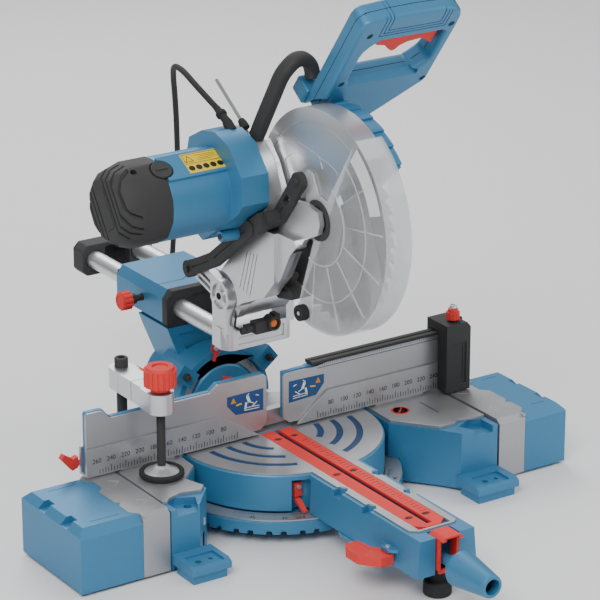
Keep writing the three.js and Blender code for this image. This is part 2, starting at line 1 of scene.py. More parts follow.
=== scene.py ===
import math

import bmesh
import bpy
from bpy.props import FloatProperty, FloatVectorProperty, IntProperty, PointerProperty
from mathutils import Matrix, Vector


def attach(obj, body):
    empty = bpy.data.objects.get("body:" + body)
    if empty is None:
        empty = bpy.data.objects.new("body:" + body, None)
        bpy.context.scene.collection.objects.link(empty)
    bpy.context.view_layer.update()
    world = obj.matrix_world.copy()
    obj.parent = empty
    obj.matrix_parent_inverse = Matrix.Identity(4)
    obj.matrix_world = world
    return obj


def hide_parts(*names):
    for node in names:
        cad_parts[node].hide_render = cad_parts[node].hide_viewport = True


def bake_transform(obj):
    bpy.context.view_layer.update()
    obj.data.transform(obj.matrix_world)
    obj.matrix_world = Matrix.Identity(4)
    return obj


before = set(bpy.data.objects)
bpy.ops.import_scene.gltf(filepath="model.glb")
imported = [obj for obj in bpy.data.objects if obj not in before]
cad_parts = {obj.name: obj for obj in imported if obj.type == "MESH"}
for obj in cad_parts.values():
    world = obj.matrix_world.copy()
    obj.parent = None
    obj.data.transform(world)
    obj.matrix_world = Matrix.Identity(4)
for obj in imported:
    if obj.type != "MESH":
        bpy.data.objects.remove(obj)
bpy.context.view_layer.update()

bl_info = {
    "name": "Sliding Mitre Saw Builder",
    "version": (1, 0, 0),
    "blender": (4, 5, 0),
    "location": "View3D > Sidebar > Mitre Saw",
    "description": "Builds a sliding compound mitre saw around its packed frame",
    "category": "Object",
}

# ------------------------------------------------------------------ sizes, millimetres above the table
TABLE = 84.0                # bench to table top
TURNTABLE_R = 134.0
SCALE_R = 157.0
TUBE_X, TUBE_Z, TUBE_R = 35.0, 119.0, 12.0
PIVOT = (56.0, 174.0)       # chop pivot, Y and Z
ARBOR = (-121.0, 318.0)
BLADE_R = 127.0
TEETH = 40
MOTOR = (15.0, 333.0)
MOTOR_R = 51.5
POST = (-189.0, 60.0)
PAD = (-191.0, -36.0)
CORD_D = 7.5
COIL_AT, COIL_R = (130.0, 330.0), 42.0


# ------------------------------------------------------------------ mesh helpers
def row(x, y, z):
    """A point in millimetres above the table, as metres in the row frame."""
    return Vector((x, y, z + TABLE)) * 0.001


def spot(axis, a, b, t):
    """A point from two coordinates across an axis and one along it."""
    return {"x": (t, a, b), "y": (a, t, b), "z": (a, b, t)}[axis]


def polar(radius, degrees, centre=(0, 0)):
    t = math.radians(degrees)
    return centre[0] + radius * math.cos(t), centre[1] + radius * math.sin(t)


def arc(radius, start, end, steps, centre=(0, 0)):
    return [polar(radius, start + (end - start) * i / steps, centre) for i in range(steps + 1)]


def sector(inner, outer, start, end, steps, centre=(0, 0)):
    return arc(outer, start, end, steps, centre) + arc(inner, end, start, steps, centre)


def loft(rings):
    """A closed mesh through equal loops of points, with flat ends: (points, faces)."""
    n = len(rings[0])
    points = [tuple(p) for ring in rings for p in ring]
    faces = [tuple(range(n)), tuple((len(rings) - 1) * n + i for i in reversed(range(n)))]
    for k in range(len(rings) - 1):
        for i in range(n):
            j = (i + 1) % n
            faces.append((k * n + i, (k + 1) * n + i, (k + 1) * n + j, k * n + j))
    return points, faces


def prism(axis, outline, low, high):
    return loft([[spot(axis, a, b, t) for a, b in outline] for t in (low, high)])


def lathe(axis, centre, profile, sides=64):
    rings = []
    for t, r in profile:
        rings.append([spot(axis, *polar(r, 360 * i / sides, centre), t) for i in range(sides)])
    return loft(rings)


def rod(axis, centre, radius, low, high, sides=48, end=None):
    return lathe(axis, centre, [(low, radius), (high, radius if end is None else end)], sides)


def box(x0, x1, y0, y1, z0, z1):
    return prism("z", [(x0, y0), (x1, y0), (x1, y1), (x0, y1)], z0, z1)


def hose(path, radius, sides=16):
    """A round tube along points; radius is one number, or one for each point."""
    points = [Vector(p) for p in path]
    radii = radius if isinstance(radius, (list, tuple)) else [radius] * len(points)
    rings, normal = [], None
    for i, p in enumerate(points):
        along = (points[min(i + 1, len(points) - 1)] - points[max(i - 1, 0)]).normalized()
        if normal is None:
            normal = along.orthogonal().normalized()
        normal = (normal - along * normal.dot(along)).normalized()
        side = along.cross(normal)
        turns = [math.tau * k / sides for k in range(sides)]
        rings.append([p + (normal * math.cos(t) + side * math.sin(t)) * radii[i] for t in turns])
    return loft(rings)


def smooth_path(points, steps):
    """A Catmull-Rom line through the points, with steps pieces in each stretch."""
    p = [Vector(q) for q in points]
    p = [p[0] * 2 - p[1]] + p + [p[-1] * 2 - p[-2]]
    out = []
    for a, b, c, d in zip(p, p[1:], p[2:], p[3:]):
        for i in range(steps):
            t = i / steps
            out.append(0.5 * (2 * b + (c - a) * t + (2 * a - 5 * b + 4 * c - d) * t * t
                              + (3 * b - a - 3 * c + d) * t ** 3))
    return out + [p[-2]]


def turned(shell, axis, degrees, centre):
    """The same shell, turned about a line along an axis through a point."""
    turn = Matrix.Rotation(math.radians(degrees), 3, axis.upper())
    c = Vector(centre)
    return [tuple(turn @ (Vector(p) - c) + c) for p in shell[0]], shell[1]


def raw_object(shells, name="part"):
    points, faces = [], []
    for shell in shells:
        base = len(points)
        points += [row(*p) for p in shell[0]]
        faces += [tuple(i + base for i in face) for face in shell[1]]
    mesh = bpy.data.meshes.new(name)
    mesh.from_pydata(points, [], faces)
    work = bmesh.new()
    work.from_mesh(mesh)
    bmesh.ops.remove_doubles(work, verts=work.verts, dist=1e-7)
    bmesh.ops.recalc_face_normals(work, faces=work.faces)
    work.to_mesh(mesh)
    work.free()
    obj = bpy.data.objects.new(name, mesh)
    bpy.context.scene.collection.objects.link(obj)
    return obj


def bake(obj):
    """Replaces the object's mesh by what its modifiers make."""
    bpy.context.view_layer.update()
    depsgraph = bpy.context.evaluated_depsgraph_get()
    mesh = bpy.data.meshes.new_from_object(obj.evaluated_get(depsgraph))
    obj.modifiers.clear()
    obj.data = mesh
    return obj


def drop(obj):
    bpy.data.objects.remove(obj)


def combine(obj, shells, operation):
    if not shells:
        return obj
    tool = raw_object(shells, "tool")
    modifier = obj.modifiers.new("cut", "BOOLEAN")
    modifier.operation = operation
    modifier.object = tool
    modifier.solver = "EXACT"
    modifier.use_self = True
    bake(obj)
    drop(tool)
    return obj


def piece(name, body, slot, add, cut=(), bevel=0.8, nodes=(), material=None, segments=2, angle=34, fine=()):
    """Joins shells, cuts others out, rounds the edges, makes the fine cuts, and rides on its body."""
    obj = raw_object(add[:1], name)
    combine(obj, list(add[1:]), "UNION")
    combine(obj, list(cut), "DIFFERENCE")
    round_edges(obj, bevel, segments, angle)
    combine(obj, list(fine), "DIFFERENCE")
    return dress(obj, body, slot, 0, nodes, material, segments, angle)


def round_edges(obj, width, segments, angle):
    if not width:
        return
    modifier = obj.modifiers.new("edge", "BEVEL")
    modifier.width = width * 0.001
    modifier.segments = segments
    modifier.limit_method = "ANGLE"
    modifier.angle_limit = math.radians(angle)
    modifier.use_clamp_overlap = True
    modifier.miter_outer = "MITER_ARC"
    bake(obj)


def loose(name, body, slot, shells, bevel=0.4, nodes=(), material=None, segments=2):
    """Shells that only touch or pass into each other, kept as they are."""
    return dress(raw_object(shells, name), body, slot, bevel, nodes, material, segments, 34)


def dress(obj, body, slot, bevel, nodes, material, segments, angle):
    round_edges(obj, bevel, segments, angle)
    for polygon in obj.data.polygons:
        polygon.use_smooth = True
    obj.data.set_sharp_from_angle(angle=math.radians(38))
    even = obj.modifiers.new("even", "WEIGHTED_NORMAL")
    even.keep_sharp = True
    bake(obj)
    obj.data.materials.clear()
    obj.data.materials.append(bpy.data.materials[material or slot])
    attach(obj, body)
    if nodes:
        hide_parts(*nodes)
    return obj


# ------------------------------------------------------------------ shader groups
def new_group(name, inputs, outputs):
    group = bpy.data.node_groups.new(name, "ShaderNodeTree")
    for label, value in inputs:
        socket = group.interface.new_socket(label, in_out="INPUT", socket_type="NodeSocketFloat")
        socket.default_value = value
    for label, kind in outputs:
        group.interface.new_socket(label, in_out="OUTPUT", socket_type=kind)
    return group, group.nodes.new("NodeGroupInput"), group.nodes.new("NodeGroupOutput")


def surface_group():
    """Fine moulded or cast grain: a bump normal, and a soft patchy mask for roughness."""
    group, given, result = new_group(
        "Surface Grain", [("Scale", 900.0), ("Depth", 0.1)],
        [("Mask", "NodeSocketFloat"), ("Normal", "NodeSocketVector")])
    link = group.links.new
    place = group.nodes.new("ShaderNodeTexCoord")
    fine = group.nodes.new("ShaderNodeTexNoise")
    fine.inputs["Detail"].default_value = 3.0
    bump = group.nodes.new("ShaderNodeBump")
    bump.inputs["Distance"].default_value = 0.0002
    broad = group.nodes.new("ShaderNodeTexNoise")
    broad.inputs["Scale"].default_value = 28.0
    broad.inputs["Detail"].default_value = 5.0
    link(place.outputs["Object"], fine.inputs["Vector"])
    link(given.outputs["Scale"], fine.inputs["Scale"])
    link(given.outputs["Depth"], bump.inputs["Strength"])
    link(fine.outputs["Fac"], bump.inputs["Height"])
    link(place.outputs["Object"], broad.inputs["Vector"])
    link(broad.outputs["Fac"], result.inputs["Mask"])
    link(bump.outputs["Normal"], result.inputs["Normal"])
    return group


def wear_group():
    """A mask that is one along worn, broken edges, found where the rounded normal leaves the flat one."""
    group, given, result = new_group(
        "Edge Wear", [("Amount", 0.5)], [("Mask", "NodeSocketFloat")])
    link = group.links.new
    place = group.nodes.new("ShaderNodeTexCoord")
    shape = group.nodes.new("ShaderNodeNewGeometry")
    rounded = group.nodes.new("ShaderNodeBevel")
    rounded.samples = 6
    rounded.inputs["Radius"].default_value = 0.0009
    match = group.nodes.new("ShaderNodeVectorMath")
    match.operation = "DOT_PRODUCT"
    ramp = group.nodes.new("ShaderNodeMapRange")
    ramp.inputs["From Min"].default_value = 0.985
    ramp.inputs["From Max"].default_value = 0.86
    patch = group.nodes.new("ShaderNodeTexNoise")
    patch.inputs["Scale"].default_value = 110.0
    patch.inputs["Detail"].default_value = 4.0
    broken = group.nodes.new("ShaderNodeMath")
    broken.operation = "MULTIPLY"
    share = group.nodes.new("ShaderNodeMath")
    share.operation = "MULTIPLY"
    share.use_clamp = True
    link(shape.outputs["Normal"], match.inputs[0])
    link(rounded.outputs["Normal"], match.inputs[1])
    link(match.outputs["Value"], ramp.inputs["Value"])
    link(place.outputs["Object"], patch.inputs["Vector"])
    link(ramp.outputs["Result"], broken.inputs[0])
    link(patch.outputs["Fac"], broken.inputs[1])
    link(broken.outputs["Value"], share.inputs[0])
    link(given.outputs["Amount"], share.inputs[1])
    link(share.outputs["Value"], result.inputs["Mask"])
    return group


def mix_colour(tree, mask, a, b):
    node = tree.nodes.new("ShaderNodeMix")
    node.data_type = "RGBA"
    first, second = node.inputs[6], node.inputs[7]
    for socket, value in ((first, a), (second, b)):
        if isinstance(value, tuple):
            socket.default_value = (*value, 1.0)
        else:
            tree.links.new(value, socket)
    tree.links.new(mask, node.inputs[0])
    return node.outputs[2]


def material(name, colour, rough, metal=0.0, grain=(900.0, 0.1), tone=0.82, wear=0.0, worn=(0.5, 0.55, 0.6),
             coat=0.0, brushed=None):
    """One finish: patchy tone and roughness, grain, and lighter worn edges."""
    made = bpy.data.materials.new(name)
    made.use_nodes = True
    tree = made.node_tree
    shader = tree.nodes["Principled BSDF"]
    surface = tree.nodes.new("ShaderNodeGroup")
    surface.node_tree = bpy.data.node_groups["Surface Grain"]
    surface.inputs["Scale"].default_value = grain[0]
    surface.inputs["Depth"].default_value = grain[1]
    darker = tuple(c * tone for c in colour)
    base = mix_colour(tree, surface.outputs["Mask"], darker, colour)
    if wear:
        edges = tree.nodes.new("ShaderNodeGroup")
        edges.node_tree = bpy.data.node_groups["Edge Wear"]
        edges.inputs["Amount"].default_value = wear
        base = mix_colour(tree, edges.outputs["Mask"], base, worn)
    tree.links.new(base, shader.inputs["Base Color"])
    spread = tree.nodes.new("ShaderNodeMapRange")
    spread.inputs["To Min"].default_value = rough - 0.07
    spread.inputs["To Max"].default_value = rough + 0.09
    tree.links.new(surface.outputs["Mask"], spread.inputs["Value"])
    tree.links.new(spread.outputs["Result"], shader.inputs["Roughness"])
    tree.links.new(surface.outputs["Normal"], shader.inputs["Normal"])
    shader.inputs["Metallic"].default_value = metal
    shader.inputs["Coat Weight"].default_value = coat
    if brushed:
        place = tree.nodes.new("ShaderNodeTexCoord")
        stretch = tree.nodes.new("ShaderNodeMapping")
        stretch.inputs["Scale"].default_value = brushed
        lines = tree.nodes.new("ShaderNodeTexNoise")
        lines.inputs["Scale"].default_value = 60.0
        lines.inputs["Detail"].default_value = 6.0
        bump = tree.nodes.new("ShaderNodeBump")
        bump.inputs["Distance"].default_value = 0.0001
        bump.inputs["Strength"].default_value = 0.25
        tree.links.new(place.outputs["Object"], stretch.inputs["Vector"])
        tree.links.new(stretch.outputs["Vector"], lines.inputs["Vector"])
        tree.links.new(lines.outputs["Fac"], bump.inputs["Height"])
        tree.links.new(bump.outputs["Normal"], shader.inputs["Normal"])
    return made


def clear_material():
    made = bpy.data.materials.new("clear_plastic")
    made.use_nodes = True
    tree = made.node_tree
    shader = tree.nodes["Principled BSDF"]
    shader.inputs["Base Color"].default_value = (0.93, 0.95, 0.97, 1.0)
    shader.inputs["Transmission Weight"].default_value = 1.0
    shader.inputs["IOR"].default_value = 1.42
    surface = tree.nodes.new("ShaderNodeGroup")
    surface.node_tree = bpy.data.node_groups["Surface Grain"]
    surface.inputs["Scale"].default_value = 40.0
    surface.inputs["Depth"].default_value = 0.0
    spread = tree.nodes.new("ShaderNodeMapRange")
    spread.inputs["To Min"].default_value = 0.0
    spread.inputs["To Max"].default_value = 0.05
    tree.links.new(surface.outputs["Mask"], spread.inputs["Value"])
    tree.links.new(spread.outputs["Result"], shader.inputs["Roughness"])
    return made


def make_materials():
    surface_group()
    wear_group()
    blue = (0.001, 0.040, 0.125)
    material("painted_blue", blue, 0.40, 0.0, (1500.0, 0.12), 0.80, 0.7, (0.05, 0.16, 0.30), 0.05)
    material("groove_blue", (0.001, 0.045, 0.15), 0.5, 0.0, (1200.0, 0.1))
    material("cast_aluminium", (0.60, 0.605, 0.62), 0.33, 0.85, (1300.0, 0.14), 0.84, 0.6, (0.78, 0.79, 0.80))
    material("machined_top", (0.46, 0.465, 0.48), 0.38, 0.7, (700.0, 0.08), 0.86, 0.5, (0.70, 0.71, 0.72),
             0.0,
             (1.0, 30.0, 1.0))
    material("guard_silver", (0.66, 0.665, 0.68), 0.30, 0.7, (900.0, 0.05), 0.9, 0.5, (0.8, 0.8, 0.81))
    material("bright_steel", (0.74, 0.745, 0.76), 0.22, 0.97, (500.0, 0.05), 0.9, 0.0, (1, 1, 1), 0.0,
             (40.0, 1.0, 40.0))
    material("blade_steel", (0.42, 0.425, 0.435), 0.30, 0.92, (400.0, 0.06), 0.84, 0.4, (0.45, 0.45, 0.47))
    material("carbide", (0.2, 0.205, 0.21), 0.3, 0.85, (900.0, 0.1))
    material("black_plastic", (0.004, 0.004, 0.0043), 0.45, 0.0, (1400.0, 0.22), 0.7, 0.5,
             (0.02, 0.02, 0.021))
    # near-black: painted shade on the sheets set inside holes and slots (kerf floor, grip hole, vent core);
    # the handle's dark seam line and the small pins at the detent and the pivot use it too
    material("dark_hole", (0.0008, 0.0008, 0.001), 0.85, 0.0, (500.0, 0.1))
    material("red_plastic", (0.55, 0.010, 0.007), 0.36, 0.0, (1100.0, 0.1), 0.80, 0.5, (0.5, 0.06, 0.05),
             0.08)
    material("rubber", (0.003, 0.003, 0.0032), 0.62, 0.0, (900.0, 0.3), 0.7)
    material("ink", (0.006, 0.006, 0.007), 0.6, 0.0, (600.0, 0.05))
    material("label_yellow", (0.85, 0.58, 0.004), 0.45, 0.0, (700.0, 0.04), 0.94)
    material("label_orange", (0.75, 0.24, 0.004), 0.45, 0.0, (700.0, 0.04), 0.94)
    material("label_blue", (0.001, 0.06, 0.20), 0.4, 0.0, (700.0, 0.04), 0.92)
    material("label_white", (0.78, 0.79, 0.80), 0.45, 0.0, (700.0, 0.04), 0.94)
    material("lens", (0.7, 0.16, 0.01), 0.15, 0.0, (300.0, 0.02))
    material("bench_pale", (0.86, 0.86, 0.86), 0.65, 0.0, (300.0, 0.05), 0.98)
    clear_material()


# ------------------------------------------------------------------ geometry node trees for repeats
def node_tree(name, inputs):
    tree = bpy.data.node_groups.new(name, "GeometryNodeTree")
    tree.interface.new_socket("Geometry", in_out="INPUT", socket_type="NodeSocketGeometry")
    for label, kind, value in inputs:
        socket = tree.interface.new_socket(label, in_out="INPUT", socket_type=kind)
        if value is not None:
            socket.default_value = value
    tree.interface.new_socket("Geometry", in_out="OUTPUT", socket_type="NodeSocketGeometry")
    return tree, tree.nodes.new("NodeGroupInput"), tree.nodes.new("NodeGroupOutput")


def end_tree(tree, given, result, instances):
    realize = tree.nodes.new("GeometryNodeRealizeInstances")
    paint = tree.nodes.new("GeometryNodeSetMaterial")
    tree.links.new(instances, realize.inputs["Geometry"])
    tree.links.new(realize.outputs["Geometry"], paint.inputs["Geometry"])
    tree.links.new(given.outputs["Material"], paint.inputs["Material"])
    tree.links.new(paint.outputs["Geometry"], result.inputs["Geometry"])


def screw_tree():
    """A domed socket-head screw on each point, turned to the point's axis."""
    tree, given, result = node_tree("Screw Heads", [
        ("Radius", "NodeSocketFloat", 0.003), ("Height", "NodeSocketFloat", 0.0015),
        ("Material", "NodeSocketMaterial", None)])
    link = tree.links.new
    head = tree.nodes.new("GeometryNodeMeshCone")
    head.inputs["Vertices"].default_value = 20
    shrink = tree.nodes.new("ShaderNodeMath")
    shrink.operation = "MULTIPLY"
    shrink.inputs[1].default_value = 0.82
    link(given.outputs["Radius"], head.inputs["Radius Bottom"])
    link(given.outputs["Radius"], shrink.inputs[0])
    link(shrink.outputs[0], head.inputs["Radius Top"])
    link(given.outputs["Height"], head.inputs["Depth"])
    socket = tree.nodes.new("GeometryNodeMeshCylinder")
    socket.inputs["Vertices"].default_value = 6
    narrow = tree.nodes.new("ShaderNodeMath")
    narrow.operation = "MULTIPLY"
    narrow.inputs[1].default_value = 0.45
    link(given.outputs["Radius"], narrow.inputs[0])
    link(narrow.outputs[0], socket.inputs["Radius"])
    link(given.outputs["Height"], socket.inputs["Depth"])
    lift = tree.nodes.new("GeometryNodeTransform")
    raised = tree.nodes.new("ShaderNodeCombineXYZ")
    half = tree.nodes.new("ShaderNodeMath")
    half.operation = "MULTIPLY"
    half.inputs[1].default_value = 0.5
    link(given.outputs["Height"], half.inputs[0])
    link(half.outputs[0], raised.inputs["Z"])
    link(raised.outputs["Vector"], lift.inputs["Translation"])
    link(socket.outputs["Mesh"], lift.inputs["Geometry"])
    hollow = tree.nodes.new("GeometryNodeMeshBoolean")
    hollow.operation = "DIFFERENCE"
    link(head.outputs["Mesh"], hollow.inputs["Mesh 1"])
    link(lift.outputs["Geometry"], hollow.inputs["Mesh 2"])
    spread = tree.nodes.new("GeometryNodeInstanceOnPoints")
    axis = tree.nodes.new("GeometryNodeInputNamedAttribute")
    axis.data_type = "FLOAT_VECTOR"
    axis.inputs["Name"].default_value = "axis"
    aim = tree.nodes.new("FunctionNodeAlignRotationToVector")
    aim.axis = "Z"
    link(axis.outputs["Attribute"], aim.inputs["Vector"])
    link(given.outputs["Geometry"], spread.inputs["Points"])
    link(hollow.outputs["Mesh"], spread.inputs["Instance"])
    link(aim.outputs["Rotation"], spread.inputs["Rotation"])
    end_tree(tree, given, result, spread.outputs["Instances"])
    return tree


def bar_tree():
    """A small block on each point, sized by the point's own size and turned to its axis."""
    tree, given, result = node_tree("Small Bars", [("Material", "NodeSocketMaterial", None)])
    link = tree.links.new
    cube = tree.nodes.new("GeometryNodeMeshCube")
    cube.inputs["Size"].default_value = (1.0, 1.0, 1.0)
    size = tree.nodes.new("GeometryNodeInputNamedAttribute")
    size.data_type = "FLOAT_VECTOR"
    size.inputs["Name"].default_value = "size"
    turn = tree.nodes.new("GeometryNodeInputNamedAttribute")
    turn.data_type = "FLOAT_VECTOR"
    turn.inputs["Name"].default_value = "turn"
    as_rotation = tree.nodes.new("FunctionNodeEulerToRotation")
    spread = tree.nodes.new("GeometryNodeInstanceOnPoints")
    link(given.outputs["Geometry"], spread.inputs["Points"])
    link(cube.outputs["Mesh"], spread.inputs["Instance"])
    link(size.outputs["Attribute"], spread.inputs["Scale"])
    link(turn.outputs["Attribute"], as_rotation.inputs["Euler"])
    link(as_rotation.outputs["Rotation"], spread.inputs["Rotation"])
    end_tree(tree, given, result, spread.outputs["Instances"])
    return tree


def spread_points(name, body, tree_name, points, vectors, settings):
    mesh = bpy.data.meshes.new(name)
    mesh.from_pydata([row(*p) for p in points], [], [])
    for label, values in vectors.items():
        attribute = mesh.attributes.new(label, "FLOAT_VECTOR", "POINT")
        attribute.data.foreach_set("vector", [c for value in values for c in value])
    obj = bpy.data.objects.new(name, mesh)
    bpy.context.scene.collection.objects.link(obj)
    modifier = obj.modifiers.new("repeat", "NODES")
    modifier.node_group = bpy.data.node_groups[tree_name]
    for item in modifier.node_group.interface.items_tree:
        if item.in_out == "INPUT" and item.name in settings:
            modifier[item.identifier] = settings[item.name]
    bake(obj)
    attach(obj, body)
    return obj


def screws(name, body, places, radius=3.0, height=1.6, finish="bright_steel"):
    """places holds (point, axis) pairs."""
    return spread_points(name, body, "Screw Heads", [p for p, _ in places],
                         {"axis": [a for _, a in places]}, {
        "Radius": radius * 0.001, "Height": height * 0.001, "Material": bpy.data.materials[finish]})


def bars(name, body, places, finish):
    """places holds (point, size, turn) with millimetres and degrees."""
    sizes = [[c * 0.001 for c in size] for _, size, _ in places]
    turns = [[math.radians(c) for c in turn] for _, _, turn in places]
    return spread_points(name, body, "Small Bars", [p for p, _, _ in places],
                         {"size": sizes, "turn": turns}, {"Material": bpy.data.materials[finish]})


def number(name, body, text, at, size, turn, finish="ink"):
    """A figure of a scale as thin flat shapes, facing along its own Z after the turn."""
    curve = bpy.data.curves.new(name, "FONT")
    curve.body = text
    curve.size = size * 0.001
    curve.align_x = "CENTER"
    curve.align_y = "CENTER"
    curve.extrude = 0.00008
    obj = bpy.data.objects.new(name, curve)
    bpy.context.scene.collection.objects.link(obj)
    obj.rotation_euler = [math.radians(c) for c in turn]
    obj.location = row(*at)
    bpy.context.view_layer.update()
    mesh = bpy.data.meshes.new_from_object(obj.evaluated_get(bpy.context.evaluated_depsgraph_get()))
    mesh.transform(obj.matrix_world)
    drop(obj)
    made = bpy.data.objects.new(name, mesh)
    bpy.context.scene.collection.objects.link(made)
    mesh.materials.clear()
    mesh.materials.append(bpy.data.materials[finish])
    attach(made, body)
    return made


# ------------------------------------------------------------------ base
def build_ring():
    floor = lathe("z", (0, 0), [(-71, 150), (-69.5, 156.5), (-56, SCALE_R), (-53, 156), (-52.4, 154)], 128)
    boss = rod("z", (0, 0), 32, -TABLE, -60)
    cuts = [rod("z", (0, 0), SCALE_R - 16, -72, -62, 96)]
    for k in range(-11, -1):
        for shift in (0, 6.5):
            angle = k * 15 + 8 + shift
            notch = prism("x", [(-5, -74), (5, -74), (3, -65), (-3, -65)], 144, 170)
            cuts.append(turned(notch, "z", angle, (0, 0, 0)))
    piece("ring_casting", "base", "painted_blue", [floor, boss], cuts, 0.7, ["base_ring"])
    piece("ring_scale", "base", "cast_aluminium",
          [prism("z", sector(TURNTABLE_R + 1, SCALE_R - 1, 195, 345, 90), -52.3, -50.2)], (), 0.3,
          ["mitre_scale"], "machined_top")
    ticks = []
    for degree in range(-55, 56):
        long = 6.5 if degree % 5 == 0 else 3.6
        x, y = polar(TURNTABLE_R + 4 + long / 2, 270 + degree)
        ticks.append(((x, y, -50.15), (long, 0.45, 0.15), (0, 0, 270 + degree)))
    bars("mitre_ticks", "base", ticks, "ink")
    for degree, text in ((-45, "45"), (-30, "30"), (-22.5, "22.5"), (-15, "15"), (0, "0"),
                         (15, "15"), (30, "30"), (22.5, "22.5"), (45, "45")):
        x, y = polar(SCALE_R - 7, 270 + degree)
        number("mitre_figure", "base", text, (x, y, -50.12), 7.5, (0, 0, degree))


def wing_outline(side):
    if side < 0:
        return [(-231.5, 21), (-138, 21), (-141, -30), (-170, -58), (-160, -88), (-192, -125), (-231.5, -125)]
    return [(250.5, 21), (138, 21), (136, -48), (178, -100), (194, -125), (250.5, -125)]


def build_wing(side):
    word = "left" if side < 0 else "right"
    outer = -231.5 if side < 0 else 250.5
    foot = (outer, -177) if side < 0 else (187, outer)
    tail = (-300, -150) if side < 0 else (150, 300)
    mid = (foot[0] + foot[1]) / 2
    add = [
        prism("z", wing_outline(side), -80, -4),
        prism("x", [(-172, -72), (-172, -64), (-165, -60), (-124, -60), (-124, -72)], *foot),
        box(foot[0] + 4, foot[1] - 4, -168, -130, -TABLE, -71),
        box(*tail, 20, 66, -80, -50),
        rod("z", (tail[0] + 16 if side < 0 else tail[1] - 16, 46), 12, -TABLE, -79),
        rod("z", (POST[0] * (-side), POST[1]), 14, -79, 15),
        box(outer if side < 0 else outer - 30, outer + 30 if side < 0 else outer, -124, -60, -70, -4),
    ]
    inner = 1 if side < 0 else -1
    cut = [
        rod("z", (0, 0), SCALE_R + 0.6, -90, -49.8, 128),
        rod("z", (0, 0), TURNTABLE_R + 3, -49.9, 5, 128),
        rod("z", (POST[0] * (-side), POST[1]), 6.9, -49, 20, 32),
        box(mid - 20, mid + 20, -167, -140, -63, -55),
        rod("z", (mid - 8, -153), 4, -90, -50, 24),
        rod("z", (mid + 9, -153), 3, -90, -50, 24),
        prism("z", [(outer + inner * 8, -126), (outer + inner * 36, -126), (outer + inner * 46, -104),
                    (outer + inner * 22, -92), (outer + inner * 8, -100)], -13, 5),
        rod("z", (outer + inner * 34, -106), 5, -40, 5, 24),
        box(min(outer, outer + inner * 60), max(outer, outer + inner * 60), -110, 8, -81, -52),
    ]
    for x in (tail[0] + 16 if side < 0 else tail[1] - 16, tail[0] + 40 if side < 0 else tail[1] - 40):
        cut.append(rod("z", (x, 46), 4, -60, -40, 24))
    piece(f"wing_{word}", "base", "painted_blue", add, cut, 1.4, [f"base_wing_{word}"])
    if side < 0:
        top = [(-230, 20), (-140.5, 20), (-143, -31), (-172, -59), (-163, -87), (-172, -97), (-199, -91),
               (-218, -97), (-224, -104), (-230, -104)]
    else:
        top = [(249, 20), (140.5, 20), (138.5, -47), (180, -98), (194, -98), (203, -98), (213, -91),
               (240, -98),
               (249, -98)]
    piece(f"wing_top_{word}", "base", "cast_aluminium", [prism("z", top, -4.2, 0)],
          [rod("z", (0, 0), TURNTABLE_R + 4, -9, 5, 128)], 0.6, (), "machined_top")
    if side > 0:
        bars("wing_mark", "base", [((205, -40, 0.02), (1.6, 42, 0.2), (0, 0, 0))], "groove_blue")
        ring = prism("z", sector(9.5, 12, 0, 360, 40, (168, -28)), 0, 0.25)
        loose("hand_sign_ring", "base", "red_plastic", [ring], 0)
        loose("hand_sign_field", "base", "cast_aluminium", [rod("z", (168, -28), 9.4, 0, 0.2)], 0, (),
              "label_white")
        marks = [((168 - 4 + 2 * k, -28, 0.25), (1.1, 9 - abs(k - 2), 0.15),
                  (0, 0, 8 * (k - 2))) for k in range(5)]
        marks.append(((168, -32, 0.25), (8, 4, 0.15), (0, 0, 0)))
        bars("hand_sign_shape", "base", marks, "ink")
        bars("hand_sign_bar", "base", [((168, -28, 0.4), (20, 2, 0.15), (0, 0, 45))], "red_plastic")


def build_lower_fence():
    rear = 14.4
    left = [(-274, 3), (-28, 3), (-85, 39), (-274, 39)]
    right = [(30, 3), (251, 3), (251, 39), (75, 39)]
    walls = [
        prism("y", left, 0, 3.6), prism("y", right, 0, 3.6),
        prism("y", [(-274, 3), (-60, 3), (-72, 39), (-274, 39)], rear, rear + 4),
        prism("y", [(60, 3), (251, 3), (251, 39), (72, 39)], rear, rear + 4),
        box(-274, -70, 1, rear + 2, 3, 6), box(70, 251, 1, rear + 2, 3, 6),
        box(-225, -150, 2, rear + 3, 0.1, 4), box(150, 225, 2, rear + 3, 0.1, 4),
        box(-78, 78, rear + 3, rear + 14, 4, 24),
        box(-60, 60, rear + 13, rear + 19, 4, 12),
    ]
    cuts = [rod("y", (x, 14), 3.4, rear, rear + 30, 24) for x in (-66, -40, 40, 66)]
    piece("fence_casting", "base", "cast_aluminium", walls, cuts, 0.5, ["lower_fence"], "machined_top")
    ticks = []
    for side, last in ((-1, 260), (1, 246)):
        for step in range(60, last, 4):
            if side > 0 and step < 56:
                continue
            long = 9 if step % 20 == 0 else (7 if step % 20 == 8 else 5.5)
            limit = 3 + (step - 28) * 0.632 - 3
            if limit < long:
                continue
            ticks.append(((side * step, -0.02, 5 + long / 2), (0.8, 0.2, long), (0, 0, 0)))
    bars("fence_ticks", "base", ticks, "ink")
    for side in (-1, 1):
        for value in range(80, 261 if side < 0 else 241, 20):
            number("fence_figure", "base", str(value), (side * value, -0.04, 22), 8.4, (90, 0, 0))
    screws("fence_bolts", "base", [((x, rear + 4.5, 30), (0, 1, 0)) for x in (-240, -160, -100, 100, 160,
                                                            230)], 4, 3)


def build_fence_locks():
    for side, word in ((-1, "left"), (1, "right")):
        shape = [(275, 11), (283, 8), (298, 26), (294, 31), (282, 23), (275, 25)]
        shape = [(-x if side < 0 else x - 23, z) for x, z in shape]
        piece(f"lock_{word}", f"lock_{word}", "red_plastic",
              [prism("y", shape, 19, 27), rod("y", (side * 279 - (23 if side > 0 else 0), 17), 6, 18.8, 28,
                                              24)],
              (), 1.0, [f"fence_lock_{word}"])


